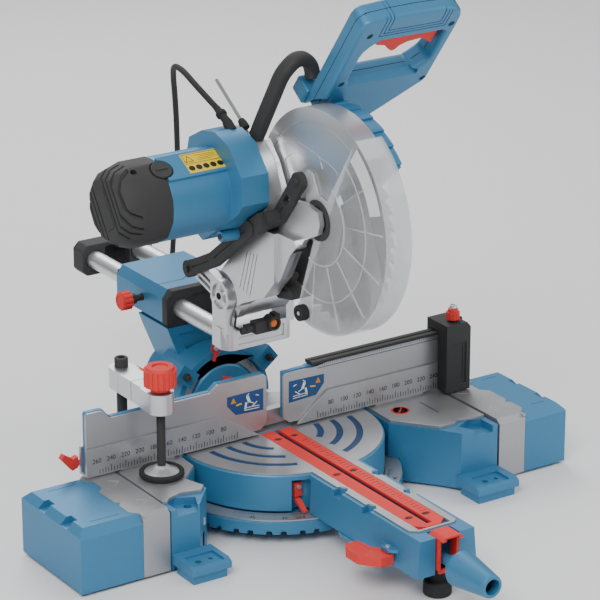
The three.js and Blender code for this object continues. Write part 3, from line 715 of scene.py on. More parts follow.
def build_clamp():
    half = 15.5
    outline = arc(half, 0, 180, 20, POST) + arc(half + 1, 180, 360, 20, PAD)
    grooves = [box(-220, -160, 10, 11.2, 80, 115), box(-186.5, -185.5, -10, 30, 108.6, 112),
               rod("z", POST, 6.6, 80, 115, 32), rod("z", PAD, 5.7, 80, 115, 32)]
    slim = [box(-230, -204.6, -14, 42, 80, 115), box(-175.6, -150, -14, 42, 80, 115)]
    piece("clamp_beam", "base", "cast_aluminium", [prism("z", outline, 84, 110)],
          grooves[:1] + grooves[2:] + slim,
          2.2, ["clamp_arm"], None, 3)
    piece("clamp_column", "base", "black_plastic",
          [lathe("z", POST, [(-48, 6.5), (108, 6.5), (109, 8.5), (121, 8.5), (122, 7.5)], 48)],
          [rod("z", POST, 4.5, 112, 125, 24)], 0.5, ["clamp_post"])
    thread = [(15 + 0.75 * k, 5.45 if k % 2 else 4.9) for k in range(130)]
    thread = [(14.8, 5.2)] + thread + [(113, 5.5)]
    loose("clamp_thread", "clamp_spindle", "black_plastic", [lathe("z", PAD, thread, 32)], 0, ["clamp_screw"])
    flutes = []
    for i in range(144):
        wave = 1 if (i % 8) < 5 else 0
        flutes.append(polar(20 - 1.7 * (1 - wave), 2.5 * i, PAD))
    piece("clamp_grip", "clamp_spindle", "red_plastic",
          [prism("z", flutes, 118, 139), rod("z", PAD, 18.6, 138, 142.5, 72, 16.5),
           rod("z", PAD, 12, 112, 119, 48)],
          [rod("z", PAD, 10, 140.5, 146, 40)], 0.7)
    loose("clamp_cone", "clamp_foot", "cast_aluminium",
          [lathe("z", PAD, [(1.5, 22), (4, 23), (6.5, 21), (10, 12), (14.6, 7)], 64)], 0.3, ["clamp_pad"],
          "guard_silver")
    ring = [(1, 19), (1, 26), (3, 27.5), (6.5, 27.5), (8, 26), (8, 23), (6, 21)]
    loops = [[spot("z", *polar(r, 360 * i / 64, PAD), z) for z, r in ring] for i in range(64)]
    points = [p for loop in loops for p in loop]
    faces = []
    for i in range(64):
        for j in range(len(ring)):
            a, b = i * len(ring) + j, i * len(ring) + (j + 1) % len(ring)
            c, d = ((i + 1) % 64) * len(ring) + j, ((i + 1) % 64) * len(ring) + (j + 1) % len(ring)
            faces.append((a, b, d, c))
    loose("clamp_rubber", "clamp_foot", "rubber", [(points, faces)], 0)
    wing = prism("z", [(-9, -3), (-13, -5), (-14, 3), (-8, 4), (8, 4), (14, 3), (13, -5), (9, -3)], 94.5,
                 99.5)
    wing = ([(-162 + p[1], POST[1] + p[0], p[2]) for p in wing[0]], wing[1])
    piece("clamp_wing", "wing_screw", "red_plastic", [wing, rod("x", (POST[1], 97), 3.5, -172, -160, 24)],
          (), 1.0, ["clamp_wing_screw"])


# ------------------------------------------------------------------ table extensions
def zigzag(side, at):
    """The interlocking edge between the silver and blue tops, front to rear."""
    steps = [(-125, 0), (-116, 0), (-106, 9), (-84, 9), (-78, 3), (-72, 9), (-36, 9), (-28, 0), (-6, 0),
             (2, 9),
             (10, 9), (19, 0)]
    return [(at + side * d, y) for y, d in steps]


def build_extension(side):
    word = "left" if side < 0 else "right"
    near = -233.3 if side < 0 else 253.7
    seam = -269.8 if side < 0 else 294.2
    far = -354 if side < 0 else 360
    body = f"extension_{word}"
    low, high = min(near, seam), max(near, seam)
    side_profile = [(-125, -80), (-125, -6), (-118, 0), (12, 0), (19, -4), (19, -80)]
    add = [prism("x", side_profile, low, high)]
    for y in (-98, -14):
        add.append(rod("x", (y, -40), 7, near - 5, -172, 32) if side < 0 else rod("x", (y, -40), 7, 196,
                                                            near + 5, 32))
    tongue = zigzag(side, seam)
    add.append(prism("z", tongue + [(seam - side * 3, 19), (seam - side * 3, -125)], -2.5, 0.05))
    cut = [box(low + 5, high - 5, -117, 12, -81, -52)]
    piece(f"slide_table_{word}", body, "cast_aluminium", add, cut, 1.2, [f"extension_table_{word}"],
          "machined_top")
    profile = [(-125, -80), (-125, -11), (-114, -0.3), (9, -0.3), (19, -10), (19, -80)]
    start = seam + side * 0.4
    low, high = min(start, far), max(start, far)
    wedge = [(far - side * 12, 3), (far + side * 3, 3), (far + side * 3, -12)]
    cut = [prism("y", wedge, -140, 30), box(low + 6, high - 6, -117, 11, -81, -30)]
    cut.append(prism("z", [(x + side * 0.5, y) for x, y in tongue] + [(seam - side * 5, 19),
                                                            (seam - side * 5, -125)],
                     -3, 3))
    for y in (-92, -38):
        cut.append(box(min(far + side, far - side * 15), max(far + side, far - side * 15), y, y + 16, -9, 3))
    cut += [box(min(start, far) + 20 + 5, max(start, far) - 20, y, y + 1.2, -0.9, 3) for y in (-104, -2)]
    piece(f"slide_end_{word}", body, "painted_blue", [prism("x", profile, low, high)], cut, 1.3,
          [f"extension_end_{word}"])
    marks = []
    for y in (-88, -22):
        for tilt in (-1, 1):
            marks.append(((near + side * 15, y + tilt * 4.4, 0.05), (13, 0.9, 0.3), (0, 0, tilt * side * 38)))
    bars(f"slide_chevrons_{word}", body, marks, "guard_silver")


# ------------------------------------------------------------------ sliding fences and length stop
def pictogram(name, body, at, flip):
    """A plain five-sided instruction sticker: orange triangle and a few lines, no lettering."""
    x0, z0 = at
    mirror = -1 if flip else 1
    field = [(0, 28), (0, 16), (12, 2), (53, 0), (53, 29)]
    loose(f"{name}_field", body, "painted_blue",
          [prism("y", [(x0 + mirror * x, z0 + z) for x, z in field], 3.75, 3.98)], 0, (), "label_blue")
    triangle = [(5, 18), (13, 18), (9, 25.5)]
    loose(f"{name}_triangle", body, "painted_blue",
          [prism("y", [(x0 + mirror * x, z0 + z) for x, z in triangle], 3.55, 3.7)], 0, (), "label_orange")
    lines = [((17, 15), (8, 1.8), 8), ((36, 8), (22, 0.9), -2), ((36, 5), (22, 0.9), -2),
             ((27, 11), (3, 9), -12),
             ((31, 19), (4, 9), 20), ((35, 14), (8, 1.2), -24), ((40, 11), (9, 1.2), 35),
             ((44, 22), (5, 1.2), -20),
             ((30, 25), (5, 1.2), 35)]
    places = [((x0 + mirror * x, 3.6, z0 + z), (w, 0.15, h), (0, -mirror * a, 0)) for (x, z), (w, h),
              a in lines]
    bars(f"{name}_yellow", body, places[:1], "label_yellow")
    bars(f"{name}_lines", body, places[1:], "label_white")


def build_upper_fences():
    plate = [(-272, 6.4), (-23, 6.4), (-14, 14), (-14, 76), (-18, 80.5), (-86, 80.5), (-97, 72), (-236, 72),
             (-240, 74), (-247, 83), (-252, 84), (-270, 84), (-272, 82)]
    piece("high_fence_left", "fence_left", "cast_aluminium", [prism("y", plate, 4, 7.4)],
          [rod("y", (-200, 55), 0.1, -5, -4, 8)], 0.5, ["upper_fence_left"], "machined_top")
    inset = [(x + (1 if x < -20 else -1), z - 0.6) for x, z in plate]
    piece("high_fence_back_left", "fence_left", "painted_blue",
          [prism("y", [(x, z + 1.4) if z > 60 else (x, z) for x, z in inset], 7.4, 14)],
          [box(-262, -110, 10, 15, 12, 66), box(-95, -24, 10, 15, 12, 72)], 0.8)
    plate = [(11, 14), (20, 6.4), (252, 6.4), (252, 76), (75, 76), (62, 73.5), (30, 73.5), (14, 73.5),
             (11, 70)]
    piece("high_fence_right", "fence_right", "cast_aluminium", [prism("y", plate, 4, 7.4)], (), 0.5,
          ["upper_fence_right"], "machined_top")
    back = [(12, 14), (20, 7), (251, 7), (251, 77), (48, 77), (46, 75.5), (28, 75.5), (26, 75), (12, 75)]
    piece("high_fence_back_right", "fence_right", "painted_blue", [prism("y", back, 7.4, 14)],
          [box(30, 240, 10, 15, 14, 66)], 0.8)
    rail = [(0.5, 78), (3, 76.6), (14.6, 76.6), (17.5, 78), (17.5, 81.4), (10.4, 81.4), (10.4, 79.4),
            (7.6, 79.4),
            (7.6, 81.4), (0.5, 81.4)]
    piece("top_rail", "fence_right", "black_plastic", [prism("x", rail, 52, 252)], (), 0.4)
    bars("fence_blue_line", "fence_right", [((156, 3.95, 70.6), (188, 0.15, 0.9), (0, 0, 0))], "groove_blue")
    fine = [((x, 3.95, 74.6), (0.4, 0.12, 3.2 if x % 10 else 4.4), (0, 0, 0)) for x in range(70, 246, 3)]
    bars("fence_fine_scale", "fence_right", fine, "ink")
    pictogram("sign_left", "fence_left", (-72, 33), False)
    pictogram("sign_right", "fence_right", (72, 33), True)


def build_stop():
    add = [prism("y", [(246, 2), (284, 2), (284, 88), (278, 95), (246, 95)], -20, -0.4),
           box(246, 284, -1, 24, 82, 95), box(246, 284, 18.2, 24, 70, 83)]
    cut = [box(253, 277, -21, -18.4, 12, 68), box(257, 273, -21, -17.4, 16, 64)]
    piece("stop_body", "length_stop", "black_plastic", add, cut, 1.2, ["stop_block"])
    flutes = [polar(9 if i % 6 < 4 else 8, 5 * i, (265, -6)) for i in range(72)]
    piece("stop_grip", "stop_screw", "red_plastic",
          [prism("z", flutes, 98, 108), rod("z", (265, -6), 6.5, 107, 112, 40),
           rod("z", (265, -6), 4, 95.4, 99, 24)],
          (), 0.6, ["stop_knob"])
    spring = [(265 + 4.2 * math.cos(t * 0.7), -6 + 4.2 * math.sin(t * 0.7),
               112 + t * 0.11) for t in range(0, 45)]
    loose("stop_spring", "stop_screw", "bright_steel", [hose(spring, 0.6, 8)], 0)


# ------------------------------------------------------------------ turntable and arm
def build_turntable():
    arm = [(-43, -49), (43, -49), (38.5, -2), (-38.5, -2)]
    disc = lathe("z", (0, 0), [(-49, 133), (-47.5, TURNTABLE_R), (-3, TURNTABLE_R), (-1.6, 133)], 160)
    add = [disc, prism("y", arm, -360, -90), box(-45, 45, 100, 125.6, -49.4, -6),
           prism("y", [(-45, -49), (-30, -49), (-30, -56), (-41, -56)], -236, -200)]
    cut = [
        rod("z", (0, 0), 122, -55, -16, 96),
        box(-33, 33, -322, -110, -60, -16),
        box(-22.4, 22.4, -334, 6, -4, 1), box(-9, 9, -323, 5, -17, -3),
        box(-17, 17, -361, -341, -50, 1), rod("y", (0, -34), 7.6, -361, -330, 32),
        box(-64, 64, 125.6, 140, -60, 2), rod("z", (-47.5, -125), 12, -60, -8, 40),
    ]
    for x, y in ((-34, -190), (-34, -250), (34, -172), (34, -238)):
        cut.append(rod("z", (x, y), 9, -10, 1, 6))
    piece("table_casting", "table", "painted_blue", add, cut, 1.0, ["turntable"])
    hub = rod("z", (0, 0), 60, -52, -15, 64)
    loose("table_hub", "table", "painted_blue", [hub], 0.5)
    skin = [prism("z", arc(131.5, 106, 434, 150), -3, 0),
            prism("z", [(-33, -110), (33, -110), (33, -262), (31.6, -333), (25.5, -338), (-24, -338),
                        (-34, -330)],
                  -3, 0)]
    cut = [box(-22.6, 22.6, -334.6, 8, -5, 3), box(-64, 64, 124.5, 140, -60, 2)]
    for x, y in ((-34, -190), (-34, -250), (34, -172), (34, -238)):
        cut.append(rod("z", (x, y), 9.6, -10, 3, 6))
    for r in (58, 82, 107):
        gap = math.degrees(math.asin(36 / r))
        for a, b in ((183, 270 - gap), (270 + gap, 357)):
            cut.append(prism("z", sector(r - 8.5, r, a, b, 40), -1.5, 3))
    piece("table_top", "table", "cast_aluminium", skin, cut, 0.35, (), "machined_top")
    fills = []
    for r in (58, 82, 107):
        gap = math.degrees(math.asin(36 / r))
        for a, b in ((183, 270 - gap), (270 + gap, 357)):
            fills.append(prism("z", sector(r - 8.7, r + 0.2, a, b, 40), -1.6, -1.1))
    loose("table_grooves", "table", "painted_blue", fills, 0, (), "groove_blue")
    for side in (-1, 1):
        plate = [(side * 3.8, 5), (side * 22, 5), (side * 22, -322), (side * 10, -333), (side * 3.8, -333)]
        piece(f"kerf_plate_{side + 2}", "table", "red_plastic", [prism("z", plate, -3.6, -0.1)],
              [prism("z", [(side * 12 + 6 * math.cos(t / 3), y + 3.6 * math.sin(t / 3)) for t in range(19)],
                     -2, 2)
               for y in (-150, -300, -20)], 0.35, ["kerf_insert"])
    loose("kerf_bridge", "table", "red_plastic", [prism("z", [(-4, -324), (4, -324), (4, -333), (-4, -333)],
                                                        -3.6, -0.1)], 0)
    # a near-black sheet at the foot of the kerf slot: painted shade where the slot opens into the hollow
    # underneath
    loose("kerf_floor_painted_shade", "table", "black_plastic", [box(-9, 9, -323, 5, -16.9, -15.9)], 0, (), "dark_hole")
    marks = [((14, -40 - 7 * k, 0), (6 if k % 2 else 9, 0.5, 0.15), (0, 0, 0)) for k in range(38)]
    bars("kerf_marks", "table", marks, "ink")
    places = [((side * 12, y, -1.7), (0, 0, 1)) for side in (-1, 1) for y in (-150, -300, -20)]
    screws("kerf_screws", "table", places, 3.4, 1.4, "black_plastic")
    leaf = [(-114, -20), (-116.2, -20), (-116.2, -34), (-134, -46), (-134, -48.6), (-114, -38.5)]
    piece("pointer_leaf", "table", "red_plastic",
          [prism("x", leaf, -51, -44), box(-52.5, -42.5, -119, -113.6, -32, -14)], (), 0.5, ["mitre_pointer"])
    screws("pointer_screw", "table", [((-47.5, -119.8, -19), (0, -1, 0))], 3.2, 2.0)
    piece("arm_rest", "table", "rubber",
          [lathe("z", (0, -342), [(-TABLE, 15.5), (-TABLE + 1.5, 17), (-69, 17), (-66.5, 15.5)], 48),
           rod("z", (0, -342), 9, -67, -49.4, 32)], (), 0.4, ["arm_foot"])


def build_arm_controls():
    cone = lathe("y", (0, -34), [(-448, 12), (-447, 14), (-443, 14.6), (-392, 22), (-387, 22.5),
                                 (-384, 20)], 64)
    grip_cuts = [rod("y", (0, -34), 9.6, -450, -430, 40)]
    for k in range(3):
        blade = rod("y", (26 * math.cos(math.radians(120 * k + 70)),
                          -34 + 26 * math.sin(math.radians(120 * k + 70))),
                    9, -442, -402, 32, 4)
        grip_cuts.append(blade)
    piece("front_grip", "mitre_grip", "painted_blue",
          [cone, rod("y", (0, -34), 12, -386, -372, 40), rod("y", (0, -34), 7, -373, -332, 32)],
          grip_cuts, 1.0, ["mitre_knob"])
    # a near-black disc inside the grip's bore: painted shade in the hole
    loose("front_grip_hole_shade", "mitre_grip", "black_plastic", [rod("y", (0, -34), 9.5, -436, -431, 40)], 0,
          (), "dark_hole")
    piece("detent_plate", "detent", "red_plastic",
          [prism("y", [(-15, -3), (-11, 0.6), (11, 0.6), (15, -3), (15, -5), (-15, -5)], -371, -344),
           box(-14.6, -11, -363, -350, -44, -3), box(11, 14.6, -363, -350, -44, -3),
           box(-12, 12, -362, -358, -49, -44)],
          [box(-9, 9, -372, -366, -6, -1.6)], 0.8, ["detent_lever"])
    loose("detent_shaft", "table", "black_plastic", [rod("x", (-350, -12), 2.5, -16.9, 16.9, 20)], 0, (),
          "dark_hole")
    lever = [(-46, -318), (-46, -298), (-56, -284), (-60, -262), (-76, -262), (-82, -272), (-82, -296),
             (-64, -318)]
    ribs = [prism("z", [(-81 + 3.6 * k, -300 + 1.4 * k), (-79.8 + 3.6 * k, -300 + 1.4 * k),
                        (-77 + 3.2 * k, -264),
                        (-78.2 + 3.2 * k, -264)], -32.6, -30) for k in range(6)]
    piece("cam_handle", "cam", "red_plastic", [prism("z", lever, -44, -32)], ribs, 1.6, ["cam_lever"], None,
          3)
    loose("cam_pin", "table", "painted_blue", [prism("z",
                                                     [(-42, -322), (-42, -290), (-52, -300), (-52, -314)],
                                                     -30.5, -26),
                                               box(-43, -40, -322, -290, -46, -26)], 0.6)
    screws("cam_screw", "table", [((-47, -307, -25.6), (0, 0, 1))], 3.4, 1.6)


# ------------------------------------------------------------------ bevel hub, arm and slide housing
def build_hub():
    dome = lathe("y", (0, 0), [(124.5, 30), (126, 46), (129, 49), (134, 49.4)], 96)
    flank = rod("y", (0, 0), 60.4, 132, 158, 96)
    cut = [box(-80, 80, 100, 170, -90, -49.6)]
    piece("hub_casting", "table", "painted_blue", [flank, dome], cut, 0.8, ["bevel_hub"])
    loose("hub_scale", "table", "cast_aluminium", [prism("y", sector(49.8, 60, -8, 188, 72), 129.6, 132.4)],
          0.3, (),
          "machined_top")
    ticks = []
    for degree in range(40, 141, 2):
        long = 6 if degree % 10 == 0 else 3.4
        x, z = polar(59 - long / 2, degree)
        ticks.append(((x, 129.5, z), (long, 0.15, 0.5), (0, -degree, 0)))
    bars("hub_ticks", "table", ticks, "ink")
    piece("hub_button", "table", "red_plastic", [prism("y",
                                                       [(-3, 34), (10, 30), (8, 22), (0, 22), (-4, 28)],
                                                       114, 127)],
          (), 1.2)


def build_bevel_arm():
    arm = [(-56, 94.6), (-50, 78), (-27, 22), (27, 22), (50, 78), (56, 94.6)]
    add = [lathe("y", (0, 0), [(158.4, 68), (160, 69), (198, 69), (200, 67)], 96),
           rod("y", (0, 0), 45, 199, 250, 64),
           prism("y", arm, 172, 245), prism("y", sector(60.9, 69, -1, 181, 64), 128, 159)]
    for angle in (38, 142):
        add.append(turned(box(60.9, 90, 118, 158, -11, 11), "y", -angle, (0, 0, 0)))
    cut = [rod("y", (0, 0), 60.8, 100, 158.3, 96), prism("y", [(-38, 84), (-20, 40), (20, 40), (38, 84)],
                                                         168, 175)]
    piece("tilt_arm", "bevel_frame", "painted_blue", add, cut, 1.3, ["bevel_arm"])
    stops = []
    for side, angle in ((-1, 142), (1, 38)):
        x, z = polar(79, angle)
        stops += [rod("y", (x, z), 3, 108, 120, 20), rod("y", (x, z), 5.2, 113, 117, 6)]
    loose("tilt_stop_screws", "bevel_frame", "black_plastic", stops, 0.3)
    pointer = [(-9, 78), (-5, 68), (-11, 62), (-13.5, 55), (-17, 57), (-15, 66), (-19, 74), (-16, 80)]
    piece("tilt_pointer", "bevel_frame", "red_plastic", [prism("y", pointer, 125.4, 128)], (), 0.4,
          ["bevel_pointer"])
    screws("tilt_pointer_screw", "bevel_frame", [((-12.6, 125, 74), (0, -1, 0))], 3.6, 2.4)
    screws("tilt_back_bolt", "bevel_frame", [((0, 250.5, 0), (0, 1, 0))], 14, 6)
    lever = [hose([(0, 258, 0), (18, 262, 26), (40, 266, 52)], [6, 5, 6.5], 20)]
    loose("tilt_lock_lever", "bevel_frame", "black_plastic", lever, 0.5)


def housing_outline(grow=0.0):
    return [(-56 - grow, 99), (-50, 95), (50, 95), (56 + grow, 99), (56 + grow, 131), (47, 143 + grow),
            (-47, 143 + grow), (-56 - grow, 131)]


def tube_bores(low, high, radius=12.4):
    return [rod("y", (x, TUBE_Z), radius, low, high, 48) for x in (-TUBE_X, TUBE_X)]


def build_slide_housing():
    groove = prism("z", [(-52, 206), (-10, 206), (0, 214), (52, 214), (52, 215.6), (-1, 215.6),
                         (-11, 207.6), (-52, 207.6)],
                   141.8, 146)
    piece("housing_casting", "bevel_frame", "painted_blue", [prism("y", housing_outline(), 183, 300)],
          tube_bores(180, 310) + [groove, rod("x", (235, TUBE_Z), 5, -60, -50, 24)], 1.4, ["slide_housing"])
    cap = prism("y", [(x * 1.02, z + (1.6 if z > 120 else 0.1)) for x, z in housing_outline()], 171, 183.4)
    piece("housing_front_cap", "bevel_frame", "black_plastic", [cap],
          tube_bores(165, 190) + [box(-18, 18, 168, 174, 104, 134)], 1.4, ["bearing_cap"])
    screws("housing_screws", "bevel_frame",
           [((x, 170.6, z), (0, -1, 0)) for x in (-51, 51) for z in (102, 137)]
           + [((x, 300.4, z), (0, 1, 0)) for x in (-51, 51) for z in (102, 134)], 2.8, 1.4, "black_plastic")
    flutes = [polar(12.5 if i % 8 < 5 else 11.3, 4 * i, (235, TUBE_Z)) for i in range(90)]
    piece("side_grip", "slide_knob", "red_plastic",
          [prism("x", flutes, -88, -75), rod("x", (235, TUBE_Z), 10.5, -89.5, -87, 48)],
          [rod("x", (235, TUBE_Z), 8, -91, -88.4, 40)], 0.7, ["slide_lock_knob"])
    loose("side_grip_bolt", "slide_knob", "black_plastic",
          [rod("x", (235, TUBE_Z), 4.5, -76, -51, 24), rod("x", (235, TUBE_Z), 7, -72, -66, 6)], 0.4)


# ------------------------------------------------------------------ carriage
def build_carriage():
    for side, word in ((-1, "left"), (1, "right")):
        loose(f"rail_tube_{word}", "carriage", "bright_steel",
              [lathe("y", (side * TUBE_X, TUBE_Z), [(45, 11.2), (46, TUBE_R), (404, TUBE_R), (405, 11.2)],
                     64)],
              0, [f"slide_tube_{word}"])
    bar = [(-46, 40), (-40, 37.5), (38, 37.5), (44, 40), (50, 48), (50, 62), (44, 73), (-50, 73), (-52, 50)]
    add = [prism("z", bar, 105, 133)]
    add += [prism("x", [(38, 128), (73, 128), (73, 134), (72, 150), (74, 174), (38, 174), (41, 150)], -50,
                  -38),
            rod("x", PIVOT, 21, -50, -38, 64),
            prism("x", [(38, 128), (73, 128), (72, 174), (40, 174)], 38, 50), rod("x", PIVOT, 21, 38, 50, 64)]
    bracket = [(60, 158), (72, 164), (120, 186), (119, 197), (112, 206), (100, 208), (58, 194)]
    add.append(prism("x", bracket, -50, -40))
    cut = [rod("x", PIVOT, 16.5, -51, -47, 48), rod("x", PIVOT, 16.5, 47, 51, 48),
           box(-34, 34, 36, 39.4, 111, 127), box(-30, 30, 40, 70, 100, 112)]
    for k in range(3):
        low = 166 + 9 * k
        cut.append(prism("x", [(76, low), (106, low + 9), (106, low + 14), (76, low + 5.5)], -51, -46))
    piece("front_yoke", "carriage", "cast_aluminium", add, cut, 1.6, ["front_bridge"], None, 3)
    spokes = [rod("x", PIVOT, 8.5, -50.4, -46, 40), rod("x", PIVOT, 8.5, 46, 50.4, 40)]
    for angle in (90, 210, 330):
        for x0, x1 in ((-49.6, -46), (46, 49.6)):
            spokes.append(turned(box(x0, x1, PIVOT[0], PIVOT[0] + 18, PIVOT[1] - 2.4, PIVOT[1] + 2.4), "x",
                                 angle,
                                 (0, *PIVOT)))
    loose("yoke_spokes", "carriage", "cast_aluminium", spokes, 0.6)
    loose("yoke_pin", "carriage", "black_plastic", [rod("x", PIVOT, 4.6, -51.2, -45, 32),
                                                    rod("x", PIVOT, 4.6, 45, 51.2, 32)],
          0.4, (), "dark_hole")
    loose("yoke_slot", "carriage", "cast_aluminium", [box(-31, 31, 38.6, 40, 117.6, 120.4)], 0.4)
    plate = [(-54, 104), (-47, 97), (47, 97), (54, 104), (54, 132), (46, 140), (-46, 140), (-54, 132)]
    piece("rear_end", "carriage", "black_plastic", [prism("y", plate, 393, 420)],
          tube_bores(390, 406) + [box(-19, 19, 390, 414, 103, 134)], 2.0, ["rear_bridge"], None, 3)
    ribs = [((x, 413.2, 118.5), (1.6, 1.6, 31), (0, 0, 0)) for x in (-8, 8)]
    bars("rear_end_ribs", "carriage", ribs, "black_plastic")
    places = [((x, 420.4, z), (0, 1, 0)) for x in (-TUBE_X, TUBE_X) for z in (TUBE_Z,)]
    screws("rear_end_bolts", "carriage", places, 7, 3)
    lamp = [box(-18, 14, 21, 35, 127, 142), rod("y", (8, 137), 9, 18, 34, 40),
            box(-28, -14, 24, 36, 130, 138),
            rod("x", (30, 132), 4.5, -34, -24, 24), box(10, 17, 20, 34, 134, 148)]
    piece("light_body", "carriage", "black_plastic", lamp, [rod("y", (8, 137), 6.6, 16, 24, 32)], 0.8,
          ["line_light"])
    loose("light_lens", "carriage", "black_plastic", [lathe("y", (8, 137),
                                                            [(19.4, 3), (21, 5.6), (25, 6.2)], 40)], 0, (),
          "lens")
    loose("light_wire", "carriage", "rubber",
          [hose(smooth_path([(-32, 30, 132), (-40, 34, 138), (-38, 36, 150), (-36, 38, 158)], 6), 1.6, 10)],
          0)


# ------------------------------------------------------------------ head
def build_head():
    arm = [(52, 149), (14, 176), (-37, 199), (-66, 231), (-86, 267), (-100, 281), (-95, 288), (-40, 287),
           (0, 266),
           (40, 228), (66, 200), (72, 168)]
    add = [rod("x", PIVOT, 30, -37.5, 37.5, 72), prism("x", arm, -44, -23),
           rod("x", PIVOT, 31.5, -37.5, -26, 72)]
    cut = []
    for k in range(4):
        shift = 7.5 * k
        line = [(-6 + shift, 190 + shift * 0.25), (-24 + shift, 252 - shift * 0.2),
                (-22.6 + shift, 252 - shift * 0.2),
                (-4.6 + shift, 190 + shift * 0.25)]
        cut.append(prism("x", line, -46, -42.4))
    cut.append(prism("x", [(-60, 190), (-100, 240), (-100, 290), (-60, 290)], -46, -38))
    cut.append(rod("x", PIVOT, 31.8, -50, -37.4, 72))
    piece("head_arm", "head", "cast_aluminium", add, cut, 2.4, ["head_casting"], None, 3)
    web = [(50, 215), (20, 195), (-30, 204), (-66, 231), (-86, 267), (-104, 290), (-132, 304), (-136, 318),
           (-132, 332),
           (-104, 336), (-62, 330), (-40, 370), (-20, 392), (15, 398), (60, 380), (75, 320)]
    gear = lathe("x", MOTOR, [(-49.6, 62), (-47, 67), (-30, 68), (-26, 64)], 96)
    piece("gear_case", "head", "cast_aluminium",
          [gear, prism("x", web, -29.5, -22), rod("x", ARBOR, 15, -29, -5, 48),
           box(-23, -17.9, -28, 4, 256, 326)],
          (), 1.4, (), "guard_silver")
    strip = [(-98, 279), (-84, 268), (-64, 232), (-36, 201), (-30, 204), (-58, 235), (-78, 272), (-92, 286)]
    piece("head_seal", "head", "rubber", [prism("x", [(y + 1.5, z - 3) for y, z in strip], -37.4, -21)], (),
          1.0)
    places = []
    for angle in (20, 80, 140, 250, 310):
        y, z = polar(62, angle, MOTOR)
        places.append(((-50.2, y, z), (-1, 0, 0)))
    screws("gear_case_screws", "head", places, 3.2, 2)


def motor_flange():
    return [(50, 270), (62, 300), (72, 345), (60, 386), (30, 402), (0, 407), (-30, 397), (-58, 365),
            (-60, 330),
            (-50, 317), (31, 262)]


def build_motor():
    profile = [(-168, MOTOR_R - 0.6), (-167, MOTOR_R), (-90, MOTOR_R), (-84, MOTOR_R + 1.5),
               (-60, MOTOR_R + 3)]
    facet = turned(box(-168, -84, MOTOR[0] - 19, MOTOR[0] + 19, MOTOR[1] + 36, MOTOR[1] + MOTOR_R + 0.6),
                   "x", 30,
                   (0, *MOTOR))
    small = []
    for degree, x0 in ((70, -72), (168, -74), (248, -87), (330, -80)):
        y, z = polar(60, degree, MOTOR)
        small.append(rod("x", (y, z), 6.5, x0, -50, 32, 9))
    add = [lathe("x", MOTOR, profile, 96), prism("x", motor_flange(), -88, -50), facet] + small
    well = turned(rod("z", (-169, MOTOR[0]), 14.6, MOTOR[1] + MOTOR_R - 4, MOTOR[1] + MOTOR_R + 4, 48), "x",
                  30,
                  (0, *MOTOR))
    cut = [well, box(-200, -168.2, -60, 90, 250, 420),
           prism("x", [(-90, 250), (-43, 300), (-38, 284), (-20, 268), (10, 262), (10, 240)], -90, -82)]
    piece("motor_body", "head", "painted_blue", add, cut, 1.8, ["motor_housing"], None, 3)
    places = []
    for degree, x0 in ((70, -72), (168, -74), (248, -87), (330, -80)):
        y, z = polar(60, degree, MOTOR)
        places.append(((x0 - 0.4, y, z), (-1, 0, 0)))
    screws("motor_screws", "head", places, 3.6, 1.6, "black_plastic")


def build_motor_cap():
    # twelve-sided shape that narrows towards its end, with slanted cooling louvres
    def ring(x, radius, lean=0.0):
        return [(x + lean * math.cos(math.radians(30 * i + 15 - 100)),
                 *polar(radius, 30 * i + 15, MOTOR)) for i in range(12)]
    shell = loft([ring(-168.6, 52.4), ring(-205, 52.4), ring(-222, 47), ring(-232, 38)])
    cut = [turned(rod("z", (-169, MOTOR[0]), 14.8, MOTOR[1] + MOTOR_R - 6, MOTOR[1] + MOTOR_R + 6, 48), "x",
                  30,
                  (0, *MOTOR))]
    for side in (-1, 1):
        for k in range(4):
            along = 14 + 8.5 * k
            slot = box(-236, -203 - 2 * k, MOTOR[0] + side * along - 1.5, MOTOR[0] + side * along + 1.5,
                       MOTOR[1] - 44, MOTOR[1] + 44)
            cut.append(turned(slot, "x", -34, (0, *MOTOR)))
    port = turned(rod("z", (-204, MOTOR[0]), 4, MOTOR[1] + 44, MOTOR[1] + 60, 24), "x", 24, (0, *MOTOR))
    cut.append(port)
    piece("vent_cap", "head", "black_plastic", [shell], cut, 1.5, ["motor_cap"])
    # a near-black core behind the louvres: painted shade seen through the slots
    core = loft([ring(-180, 44), ring(-204, 44), ring(-217, 39), ring(-224, 32)])
    loose("vent_core_shade", "head", "black_plastic", [core], 1.0, (), "dark_hole")
    badge = turned(box(-233.2, -230, MOTOR[0] - 10, MOTOR[0] + 10, MOTOR[1] - 26, MOTOR[1] + 26), "x", -34,
                   (0, *MOTOR))
    loose("vent_badge", "head", "black_plastic", [badge], 1.2)
    loose("brush_disc", "head", "black_plastic", [
        turned(lathe("z", (-169, MOTOR[0]), [(MOTOR[1] + MOTOR_R - 5, 13.4), (MOTOR[1] + MOTOR_R + 0.4, 13.4),
                                             (MOTOR[1] + MOTOR_R + 1.4, 12.4)], 48), "x", 30, (0, *MOTOR)),
        turned(box(-177, -161, MOTOR[0] - 1.3, MOTOR[0] + 1.3, MOTOR[1] + MOTOR_R + 1,
                   MOTOR[1] + MOTOR_R + 2.4), "x", 30,
               (0, *MOTOR))], 0.4, ["brush_cap"])
    build_caution_label()


